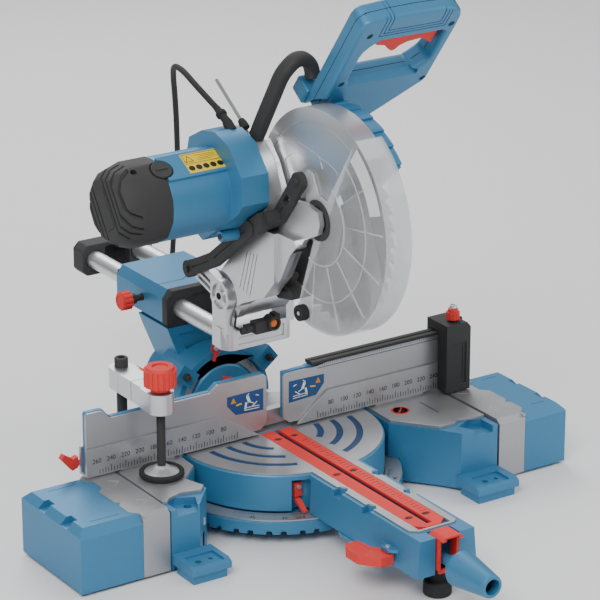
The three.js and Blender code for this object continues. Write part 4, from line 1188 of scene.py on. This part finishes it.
def build_caution_label():
    """A plain caution sticker lying on the flat of the motor: outline, triangle, lines and round signs."""
    top = MOTOR[1] + MOTOR_R + 0.65

    def flat(shell):
        return turned(shell, "x", 30, (0, *MOTOR))

    def at(x, across):
        return flat(([(x, MOTOR[0] + across, top + 0.2)], ()))[0][0]
    loose("caution_label", "head", "painted_blue", [flat(box(-137, -86, MOTOR[0] - 15, MOTOR[0] + 16, top,
                                                            top + 0.18))], 0,
          (), "label_yellow")
    lines = [((-111.5, 14.5), (47, 0.6), 0), ((-111.5, 0), (47, 0.6), 0), ((-135, 7), (0.6, 15), 0),
             ((-88, 7), (0.6, 15), 0), ((-106, 11), (26, 0.5), 0), ((-103, 8.5), (22, 0.5), 0),
             ((-105, 6), (24, 0.5), 0),
             ((-107, 3.5), (18, 0.5), 0), ((-128.5, 3), (11, 0.9), 0), ((-131.2, 7.4), (11, 0.9), 60),
             ((-125.8, 7.4), (11, 0.9), -60)]
    places = [(at(x, y), (w, h, 0.15), (30, 0, 0)) for (x, y), (w, h), spin in lines if not spin]
    bars("caution_lines", "head", places, "ink")
    slanted = [flat(turned(box(x - w / 2, x + w / 2, MOTOR[0] + y - h / 2, MOTOR[0] + y + h / 2, top + 0.1,
                               top + 0.25),
                           "z", spin, (x, MOTOR[0] + y, top))) for (x, y), (w, h), spin in lines if spin]
    loose("caution_triangle", "head", "black_plastic", slanted, 0, (), "ink")
    discs = [flat(rod("z", (-131 + 9.8 * k, MOTOR[0] - 7.5), 4.1, top + 0.1, top + 0.25,
                      24)) for k in range(5)]
    loose("caution_discs", "head", "black_plastic", discs, 0, (), "ink")


def build_upper_guard():
    span = (-36, 133)
    outer = prism("x", [ARBOR] + arc(135, *span, 90, ARBOR), -17.5, 11.5)
    inner = prism("x", [polar(8, 226, ARBOR)] + arc(132, span[0] - 14, span[1] + 14, 90, ARBOR), -15, 9)
    groove = prism("x", sector(117, 119, 30, 133, 60, ARBOR), -18, -16.9)
    ridge = prism("x", sector(72, 76, 62, 118, 40, ARBOR), -18.2, -17)
    cut = [inner, rod("x", ARBOR, 30, -22, 15, 64), groove]
    obj = piece("guard_shell", "head", "cast_aluminium", [outer, ridge], cut, 2.2, ["upper_guard"],
                "guard_silver", 3)
    frame_line = [(-40, 345), (-28, 372), (-38, 392), (-74, 402), (-118, 396), (-126, 382), (-96, 390),
                  (-62, 386),
                  (-46, 374), (-52, 350)]
    loose("guard_ridge", "head", "cast_aluminium", [prism("x", frame_line, -18.4, -17.2)], 0.6, (),
          "guard_silver")
    return obj


def tilt(shell):
    """From the handle's own frame (X, up its arms, out of its front face) to the saw's."""
    points = [(x, -175.5 - 0.6 * up - 0.8 * out, 563 + 0.8 * up - 0.6 * out) for x, up, out in shell[0]]
    return points, shell[1]


def handle_outline(grow=0.0):
    g = grow
    return [(5 - g, -176), (5 - g, -10), (7 - g, -3), (14, 3 + g), (45, 6 + g), (85, 7 + g), (122, 5 + g),
            (138, 1 + g),
            (146 + g, -5), (150 + g, -14), (151 + g, -26), (151 + g, -128), (147 + g, -136 - g),
            (92, -187 - g),
            (60, -206), (34, -206), (20, -176)]


def handle_loop(grow=0.0):
    g = grow
    return [(27 - g, -108 - g), (27 - g, -64), (29 - g, -55), (34, -47 + g), (42, -40 + g), (46, -38 + g),
            (137 + g, -38 + g), (137 + g, -92), (121, -108 - g)]


def build_handle():
    room = rod("x", ARBOR, 141, -40, 16.4, 120)
    fine = [room, tilt(box(44.5, 134.5, -40, -20, -23, -6))]
    for k in range(3):
        left, low, right = 36 + 5 * k, -27 + 4.5 * k, 130 - 5 * k
        over = [(low, 1), (low, -1.1), (2, -1.1), (5.2, -5), (5.2, -27), (9, -27), (9, 1)]
        for x in (left, right):
            fine.append(tilt(prism("x", over, x, x + 1.3)))
        fine.append(tilt(box(left, right + 1.3, low, low + 1.3, -1.1, 1)))
    spots = [(23, -23), (19, -110), (140, -26), (143, -127)]
    fine += [tilt(rod("z", p, 4.2, -2.6, 1, 32)) for p in spots]
    fine.append(tilt(prism("x", [(-107, -9), (-107, 1), (-116.5, 1)], 29, 128)))
    fine.append(tilt(prism("x", [(-107, -21), (-107, -31), (-114, -31)], 29, 124)))
    piece("handle_shell", "head", "painted_blue", [tilt(prism("z", handle_outline(), -30, 0))],
          [tilt(prism("z", handle_loop(), -40, 10))], 5.0, ["handle"], None, 4, 34, fine)
    piece("handle_seam", "head", "painted_blue", [tilt(prism("z", handle_outline(0.12), -15.5, -14.8))],
          [tilt(prism("z", handle_loop(-0.12), -40, 10)), room, tilt(box(44, 135, -60, -20, -23, -6))], 0, (),
          "dark_hole")
    piece("handle_foot", "head", "painted_blue", [tilt(box(1, 26, -174, -150, -52, -26))], (), 3, (), None,
          3, 34,
          [room])
    seats = tilt(([(x, up, -2.4) for x, up in spots], ()))[0]
    screws("handle_screws", "head", [(seat, (0, -0.8, -0.6)) for seat in seats], 3.0, 1.2, "black_plastic")
    ribs = []
    for k in range(6):
        outer = 134 - 2.4 * k
        ribs.append(prism("x", sector(104, outer, 71 + 11 * k, 81.6 + 11 * k, 6, ARBOR), 16.6, 36))
        ribs.append(prism("x", sector(104, outer - 3, 80 + 11 * k, 83 + 11 * k, 2, ARBOR), 17.4, 35))
    piece("rib_cover", "head", "painted_blue", ribs + [prism("x", sector(60, 117, 62, 137, 30, ARBOR), 16.8,
                                                            35)], (), 1.0)
    loose("cover_link", "head", "painted_blue", [prism("x", sector(64, 106, 66, 128, 16, ARBOR), 11.9, 20)],
          1.0)
    pull = [(46, -28), (46, -51), (50, -54), (62, -57), (71, -66), (77, -70.5), (81, -69), (86, -62),
            (94, -57.5),
            (114, -55), (122, -60), (128, -65.5), (133, -65), (133, -28)]
    piece("pull_trigger", "trigger", "red_plastic", [tilt(prism("z", pull, -21.5, -7))], (), 1.6,
          ["trigger"], None, 3)
    piece("safety_button", "button", "red_plastic", [tilt(rod("z", (15.5, -82), 5, -33, -20.5, 40))], (), 1.0,
          ["lock_button"])


def build_carry_handle():
    path = smooth_path([(-37, -12, 397), (-35, -28, 427), (-32, -42, 455), (-29, -53, 478), (-24, -60, 491),
                        (-14, -62, 499), (-1, -60, 498), (8, -58, 491), (12.5, -57, 481),
                        (13, -57.5, 472.5)], 5)
    rings, normal = [], Vector((0, 0.9, -0.3))
    for i, p in enumerate(path):
        along = (path[min(i + 1, len(path) - 1)] - path[max(i - 1, 0)]).normalized()
        normal = (normal - along * normal.dot(along)).normalized()
        side = along.cross(normal)
        loop = []
        for k in range(24):
            t = math.tau * k / 24
            c, s = math.cos(t), math.sin(t)
            loop.append(p + normal * (9.5 * math.copysign(abs(c) ** 0.7,
                                                          c)) + side * (8.5 * math.copysign(abs(s) ** 0.7,
                                                            s)))
        rings.append(loop)
    loose("lift_bar", "head", "black_plastic", [loft(rings)], 0.6, ["carry_handle"])


def build_small_head():
    tip = hose([(-62, 2, 403), (-62, 14, 411.5), (-62, 16, 413), (-62, 27, 418.4), (-62, 38.1, 423.6)],
               [6.4, 6.2, 5.2, 4.8, 4.2], 32)
    collar = hose([(-62, 24, 416.9), (-62, 25, 417.4), (-62, 29, 419.3), (-62, 30, 419.8)],
                  [5.2, 6.8, 6.8, 5.2], 32)
    loose("gland_boot", "head", "rubber", [tip, collar], 0.3, ["cord_gland"])
    key = [hose([(-42, 8, 406), (-42, 70, 447.7)], 2.3, 6)]
    loose("spare_key", "head", "bright_steel", key, 0.2, ["hex_key"], "blade_steel")
    loose("spare_key_grommet", "head", "rubber", [hose([(-42, 4, 403), (-42, 10, 407.4), (-42, 15, 410.7)],
                                                       [5.8, 5.4, 4.2], 24)],
          0.4)
    chute = [(-62, 206), (-58, 197), (-28, 191), (-3, 199), (12, 212), (8, 232), (-18, 236), (-40, 214)]
    piece("chute_shell", "head", "black_plastic", [prism("x", chute, -17, 12)],
          [
           prism("x", [(-50, 205), (0, 200), (0, 202), (-50, 207)], -18, -16)], 2.0, ["dust_chute"], None, 3)


# ------------------------------------------------------------------ blade, moving guard and link
def build_blade():
    points = []
    for i in range(TEETH):
        a = 360 * i / TEETH
        points += [polar(BLADE_R, a, ARBOR), polar(BLADE_R - 6, a + 0.6, ARBOR),
                   polar(BLADE_R - 10, a + 2.0, ARBOR),
                   polar(BLADE_R - 9, a + 3.6, ARBOR), polar(BLADE_R - 3.2, a + 5.6, ARBOR),
                   polar(BLADE_R - 1.4, a + 8.2, ARBOR)]
    slots = []
    for k in range(5):
        slots.append(prism("x", sector(92, 93.2, 72 * k, 72 * k + 9, 6, ARBOR), -3, 3))
        slots.append(prism("x", sector(92, 128, 72 * k - 0.7, 72 * k, 2, ARBOR), -3, 3))
    piece("disc", "blade", "bright_steel", [prism("x", points, -1.1, 1.1)], slots, 0.15, ["saw_blade"],
          "blade_steel")
    tips = []
    for i in range(TEETH):
        y, z = polar(BLADE_R - 3.2, 360 * i / TEETH + 0.3, ARBOR)
        tips.append(((0, y, z), (2.6, 6.4, 2.2), (360 * i / TEETH, 0, 0)))
    bars("tips", "blade", tips, "carbide")
    loose("flanges", "blade", "bright_steel",
          [lathe("x", ARBOR, [(-4.4, 21), (-3.4, 24), (-1.0, 24)], 64),
           lathe("x", ARBOR, [(1.0, 24), (3.6, 24), (5, 21)], 64),
           rod("x", ARBOR, 9, 4.5, 9.4, 6)], 0.5, (), "bright_steel")


def build_lower_guard():
    span = (123, 290)
    plate = prism("x", sector(28, 139, *span, 80, ARBOR), -20.8, -18.8)
    ear = prism("x", [(-108, 372), (-96, 374), (-88, 362), (-98, 325), (-125, 340)], -20.8, -18.8)
    add = [plate, rod("x", ARBOR, 31, -20.8, -18.8, 64), ear,
           prism("x", sector(137.6, 140, *span, 96, ARBOR), -20.8, 15.5),
           prism("x", sector(112, 139, *span, 80, ARBOR), 13.6, 15.5)]
    for angle in (146, 172, 198, 224, 250, 276):
        add.append(prism("x", sector(56, 134, angle - 0.5, angle + 0.5, 2, ARBOR), -22.2, -20))
    add.append(prism("x", sector(54, 56, *span, 60, ARBOR), -22.4, -20))
    add.append(prism("x", sector(98, 99.6, *span, 80, ARBOR), -22.0, -20))
    piece("guard_clear", "guard", "clear_plastic", add, [rod("x", ARBOR, 17.6, -30, -10, 48)], 0.5,
          ["lower_guard"])
    band = [prism("x", sector(112, 134, 126, 162, 24, ARBOR), -21.3, -20.95),
            prism("x", [polar(52, 136, ARBOR), polar(64, 136, ARBOR), polar(64, 146, ARBOR),
                        polar(52, 147, ARBOR)],
                  -21.3, -20.95)]
    loose("guard_sticker", "guard", "clear_plastic", band, 0, (), "label_white")
    loose("guard_pivot_ring", "guard", "black_plastic",
          [prism("x", sector(18, 25, 0, 360, 48, ARBOR), -22.4, -20.9)], 0.3)
    wheel = [(-34, 6), (-33.4, 9.4), (-32, 10), (-24, 10), (-22.6, 9.4), (-21.6, 6)]
    piece("wheel", "roller", "rubber", [lathe("x", (-96, 195.5), wheel, 48)],
          [rod("x", (-96, 195.5), 4.6, -35, -31, 24)], 0.4,
          ["guard_roller"])
    loose("wheel_axle", "roller", "bright_steel", [rod("x", (-96, 195.5), 2.6, -33, -21.2, 20)], 0.2)


def build_link():
    rear, bend, front = Vector((108, 197)), Vector((-58, 308)), Vector((-100, 363))

    def strip(a, b, half, x0, x1, flare=0.0):
        along = (b - a).normalized()
        n = Vector((-along.y, along.x)) * half
        wide = n * (1 + flare)
        return prism("x", [tuple(a - n), tuple(b - wide), tuple(b + wide), tuple(a + n)], x0, x1)

    def slot(a, b, start, end, half, x0, x1):
        along = (b - a).normalized()
        return strip(a + along * start, a + along * end, half, x0, x1)
    elbow, knee = Vector((50, 226)), Vector((-34, 291))
    add = [rod("x", rear, 11, -64, -54.4, 48), strip(rear, elbow, 9.5, -64, -54.4),
           rod("x", elbow, 9.5, -64, -54.4, 40),
           strip(elbow, knee, 9.5, -64, -54.4), rod("x", knee, 9.5, -64, -52, 40),
           strip(knee, bend, 9.5, -62, -34),
           rod("x", bend, 9.5, -56, -30, 40), strip(bend, front, 9.5, -38, -30, 0.15),
           rod("x", front, 11.5, -38, -30, 48)]
    fine = [slot(rear, elbow, 14, 56, 0.8, -65, -62.8), slot(elbow, knee, 8, 98, 0.8, -65, -62.8),
            slot(bend, front, 26, 40, 4.2, -40, -28), slot(bend, front, 8, 22, 0.8, -40, -37)]
    piece("lever", "link", "black_plastic", add, (), 1.6, ["guard_link"], None, 3, 34, fine)
    screws("lever_bolts", "link", [((-64.6, rear.x, rear.y), (-1, 0, 0)),
                                   ((-38.6, front.x, front.y), (-1, 0, 0))], 5, 2.4,
           "black_plastic")


# ------------------------------------------------------------------ mains cord
CORD_ROUTE = [
    [(-62, 38.1, 507.6), (-62, 62, 516), (-61, 90, 525), (-56, 122, 531), (-46, 156, 528), (-30, 190, 515),
     (-10, 224, 491), (12, 258, 456), (34, 292, 412), (54, 324, 360)],
    [(54, 324, 360), (66, 344, 325), (77, 365, 286), (86, 386, 240)],
    [(86, 386, 240), (92, 402, 200), (96, 414, 155), (98, 422, 110)],
    [(98, 422, 110), (98, 425, 78), (95, 425, 46), (90, 418, 22), (85, 404, 8), (81.5, 390, 4),
     (80.5, 372, 3.9)],
]
CORD_BODIES = [("head", "carriage"), ("carriage", "bevel_frame"), ("bevel_frame", "table"), ("table", "base")]


def whole_route():
    """One smooth line through all four stretches, cut again at the stretch ends, in metres."""
    joined = [CORD_ROUTE[0][0]] + [p for stretch in CORD_ROUTE for p in stretch[1:]]
    line = [p * 0.001 for p in smooth_path(joined, 6)]
    cuts, at = [], 0
    for stretch in CORD_ROUTE:
        count = (len(stretch) - 1) * 6
        cuts.append(line[at:at + count + 1])
        at += count
    return cuts


def coil_route(start):
    """Flat turns wound round the coil's centre: inwards on the bench, then out again on top."""
    cx, cy = COIL_AT
    points = [Vector(start)]
    outer = COIL_R + CORD_D
    entry = 180.0
    first = Vector((cx - outer, cy, 3.9)) * 0.001
    gap = first - points[0]
    for i in range(1, 5):
        points.append(points[0] + gap * i / 5)
    total = 0
    for layer in range(2):
        for turn in range(3):
            for i in range(36):
                share = (turn + i / 36) / 3
                radius = outer - 2 * CORD_D * share if layer == 0 else outer - 2 * CORD_D * (1 - share)
                lift = 3.9 + (0 if layer == 0 else CORD_D)
                if layer == 1 and total < 36 * 3 + 9:
                    lift = 3.9 + CORD_D * (total - 107) / 9
                points.append(Vector((*polar(radius, entry + 10 * i + 0, (cx, cy)), lift)) * 0.001)
                total += 1
    for i in range(19):
        points.append(Vector((*polar(outer + 0.2, entry + 10 * i, (cx, cy)), 3.9 + CORD_D)) * 0.001)
    for p in ((cx + outer + 0.4, cy + 12, 11.6), (cx + outer + 0.2, cy + 22, 12),
              (cx + outer, cy + 31, 12.6)):
        points.append(Vector(p) * 0.001)
    return points


def cord_object(name, points):
    shell = hose([(p.x * 1000, p.y * 1000, p.z * 1000 - TABLE) for p in points], CORD_D / 2, 16)
    obj = raw_object([shell], name)
    for polygon in obj.data.polygons:
        polygon.use_smooth = True
    obj.data.materials.append(bpy.data.materials["rubber"])
    return obj


def build_cord():
    routes = whole_route()
    node_names = ["cord_head", "cord_slide", "cord_bevel", "cord_floor"]
    for points, node, (a, b) in zip(routes, node_names, CORD_BODIES):
        obj = cord_object(f"flex_{node[5:]}", points)
        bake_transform(obj)
        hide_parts(node)
    points = coil_route(routes[-1][-1])
    coil = cord_object("flex_coil", points)
    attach(coil, "base")
    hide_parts("cord_coil")
    plug = build_plug(points[-1] * 1000)


def build_plug(at):
    x, y = at.x, COIL_AT[1] + 31
    low = 18.6 - TABLE
    relief = hose([(x, y, 12.4 - TABLE), (x, y + 17, 15.6 - TABLE), (x, y + 34, low)], [4.6, 5.6, 7], 24)
    shell = lathe("y", (x, low), [(y + 32, 13), (y + 40, 18), (y + 52, 18.5), (y + 69, 18.5),
                                  (y + 70, 17.6)], 48)
    grip = [lathe("y", (x, low), [(y + 44 + 5 * k, 18.5), (y + 45 + 5 * k, 19), (y + 46 + 5 * k, 18.5)],
                  48) for k in range(4)]
    body = loose("plug_body", "base", "rubber", [relief, shell] + grip, 0.4, ["plug"])
    pins = loose("plug_pins", "base", "bright_steel",
                 [lathe("y", (x + s * 9.5, low), [(y + 69, 2.4), (y + 87, 2.4), (y + 88, 1.6)],
                        20) for s in (-1, 1)], 0)
    return [body, pins]


# ------------------------------------------------------------------ stage
def build_stage(settings):
    floor = raw_object([box(-6000, 6000, -6000, 9000, -TABLE - 2, -TABLE)], "floor")
    floor.data.materials.append(bpy.data.materials["bench_pale"])
    world = bpy.context.scene.world or bpy.data.worlds.new("world")
    bpy.context.scene.world = world
    world.use_nodes = True
    tree = world.node_tree
    back = tree.nodes["Background"]
    back.inputs["Strength"].default_value = settings.sky
    place = tree.nodes.new("ShaderNodeTexCoord")
    split = tree.nodes.new("ShaderNodeSeparateXYZ")
    ramp = tree.nodes.new("ShaderNodeValToRGB")
    ramp.color_ramp.elements[0].position = 0.0
    ramp.color_ramp.elements[0].color = (0.10, 0.105, 0.12, 1.0)
    ramp.color_ramp.elements[1].position = 0.95
    ramp.color_ramp.elements[1].color = (1.3, 1.3, 1.3, 1.0)
    for position, level in ((0.22, 0.16), (0.42, 0.9)):
        ramp.color_ramp.elements.new(position).color = (level, level, level * 1.02, 1.0)
    tree.links.new(place.outputs["Generated"], split.inputs["Vector"])
    tree.links.new(split.outputs["Z"], ramp.inputs["Fac"])
    tree.links.new(ramp.outputs["Color"], back.inputs["Color"])
    lamps = [("key", (-1.6, -1.4, 2.2), 1.4, settings.key),
             ("fill", (2.2, -1.6, 1.4), 1.8, settings.key * 0.45),
             ("rim", (0.6, 2.0, 2.0), 1.6, settings.key * 0.7)]
    for name, where, size, power in lamps:
        lamp = bpy.data.lights.new(name, "AREA")
        lamp.energy = power
        lamp.size = size
        obj = bpy.data.objects.new(name, lamp)
        bpy.context.scene.collection.objects.link(obj)
        obj.location = where
        obj.rotation_euler = (Vector((0, 0, 0.3)) - Vector(where)).to_track_quat("-Z", "Y").to_euler()


def build_camera(settings):
    camera = bpy.data.cameras.new("camera")
    camera.sensor_width = 36.0
    camera.lens = settings.lens
    camera.clip_end = 50.0
    obj = bpy.data.objects.new("camera", camera)
    bpy.context.scene.collection.objects.link(obj)
    around, above = math.radians(settings.around), math.radians(settings.above)
    right = Vector((math.cos(around), math.sin(around), 0))
    back = Vector((math.sin(around) * math.cos(above), -math.cos(around) * math.cos(above), math.sin(above)))
    up = back.cross(right)
    turn = Matrix((right, up, back)).transposed().to_4x4()
    obj.matrix_world = Matrix.Translation(Vector(settings.place)) @ turn
    bpy.context.scene.camera = obj


# ------------------------------------------------------------------ add-on
class SawViewSettings(bpy.types.PropertyGroup):
    place: FloatVectorProperty(name="Camera Place", description="Where the camera stands", size=3,
                               subtype="TRANSLATION",
                               unit="LENGTH", default=(-1.85052, -2.84836, 1.52646))
    around: FloatProperty(name="Around", description="Camera heading in degrees", default=-33.479)
    above: FloatProperty(name="Above", description="Camera height angle in degrees", default=20.448)
    lens: FloatProperty(name="Lens", description="Focal length in millimetres", default=176.55)
    sky: FloatProperty(name="Sky", description="Strength of the even white light", default=0.62)
    key: FloatProperty(name="Key", description="Power of the main lamp in watts", default=52.0, unit="POWER")


class SawSettings(bpy.types.PropertyGroup):
    teeth: IntProperty(name="Teeth", description="Number of blade teeth", default=TEETH, min=12, max=96)
    view: PointerProperty(name="View", description="Camera and light", type=SawViewSettings)


class SawOperator(bpy.types.Operator):
    """Builds one group of the saw's pieces"""
    bl_idname = "saw.group"
    bl_label = "Build Group"

    def execute(self, context):
        for step in self.steps():
            step()
        return {"FINISHED"}

    def steps(self):
        return []


class BuildCamera(bpy.types.Operator):
    """Places the camera"""
    bl_idname = "saw.camera"
    bl_label = "Place Camera"

    def execute(self, context):
        build_camera(context.scene.saw.view)
        return {"FINISHED"}


class BuildFinishes(SawOperator):
    """Makes every material and repeat tree"""
    bl_idname = "saw.finishes"
    bl_label = "Make Finishes"

    def steps(self):
        return [make_materials, screw_tree, bar_tree]


class BuildCord(SawOperator):
    """Lays the mains cord, its coil and plug"""
    bl_idname = "saw.cord"
    bl_label = "Lay Mains Cord"

    def steps(self):
        return [build_cord]


class BuildBase(SawOperator):
    """Builds the base, its side tables and the fixed fence"""
    bl_idname = "saw.base"
    bl_label = "Build Base"

    def steps(self):
        return [build_ring, lambda: build_wing(-1), lambda: build_wing(1), build_lower_fence,
                build_fence_locks]


class BuildExtensions(SawOperator):
    """Builds both pull-out table extensions"""
    bl_idname = "saw.extensions"
    bl_label = "Build Extensions"

    def steps(self):
        return [lambda: build_extension(-1), lambda: build_extension(1)]


class BuildFences(SawOperator):
    """Builds the sliding fences, the length stop and the clamp"""
    bl_idname = "saw.fences"
    bl_label = "Build Fences and Clamp"

    def steps(self):
        return [build_upper_fences, build_stop, build_clamp]


class BuildTurntable(SawOperator):
    """Builds the turntable, its arm and the arm's controls"""
    bl_idname = "saw.turntable"
    bl_label = "Build Turntable"

    def steps(self):
        return [build_turntable, build_arm_controls, build_hub]


class BuildSlide(SawOperator):
    """Builds the tilting arm, slide housing and carriage"""
    bl_idname = "saw.slide"
    bl_label = "Build Slide"

    def steps(self):
        return [build_bevel_arm, build_slide_housing, build_carriage]


class BuildHead(SawOperator):
    """Builds the head with its motor and handles"""
    bl_idname = "saw.head"
    bl_label = "Build Head"

    def steps(self):
        return [build_head, build_motor, build_motor_cap, build_upper_guard, build_handle, build_carry_handle,
                build_small_head]


class BuildBlade(SawOperator):
    """Builds the blade, the moving guard and its link"""
    bl_idname = "saw.blade"
    bl_label = "Build Blade and Guard"

    def steps(self):
        return [build_blade, build_lower_guard, build_link]


class BuildStage(bpy.types.Operator):
    """Builds the floor and the lights"""
    bl_idname = "saw.stage"
    bl_label = "Build Stage"

    def execute(self, context):
        build_stage(context.scene.saw.view)
        return {"FINISHED"}


class SawPanel(bpy.types.Panel):
    bl_idname = "VIEW3D_PT_saw"
    bl_label = "Mitre Saw"
    bl_space_type = "VIEW_3D"
    bl_region_type = "UI"
    bl_category = "Mitre Saw"

    def draw(self, context):
        settings = context.scene.saw.view
        for name in ("place", "around", "above", "lens", "sky", "key"):
            self.layout.prop(settings, name)
        for operator in OPERATORS:
            self.layout.operator(operator.bl_idname)


OPERATORS = (BuildCamera, BuildFinishes, BuildCord, BuildBase, BuildExtensions, BuildFences, BuildTurntable,
             BuildSlide, BuildHead, BuildBlade, BuildStage)
CLASSES = (SawViewSettings, SawSettings, *OPERATORS, SawPanel)


def register():
    for item in CLASSES:
        bpy.utils.register_class(item)
    bpy.types.Scene.saw = PointerProperty(type=SawSettings)


def unregister():
    del bpy.types.Scene.saw
    for item in reversed(CLASSES):
        bpy.utils.unregister_class(item)


def main():
    register()
    for operator in OPERATORS:
        group, action = operator.bl_idname.split(".")
        getattr(getattr(bpy.ops, group), action)()


if __name__ == "__main__":
    main()
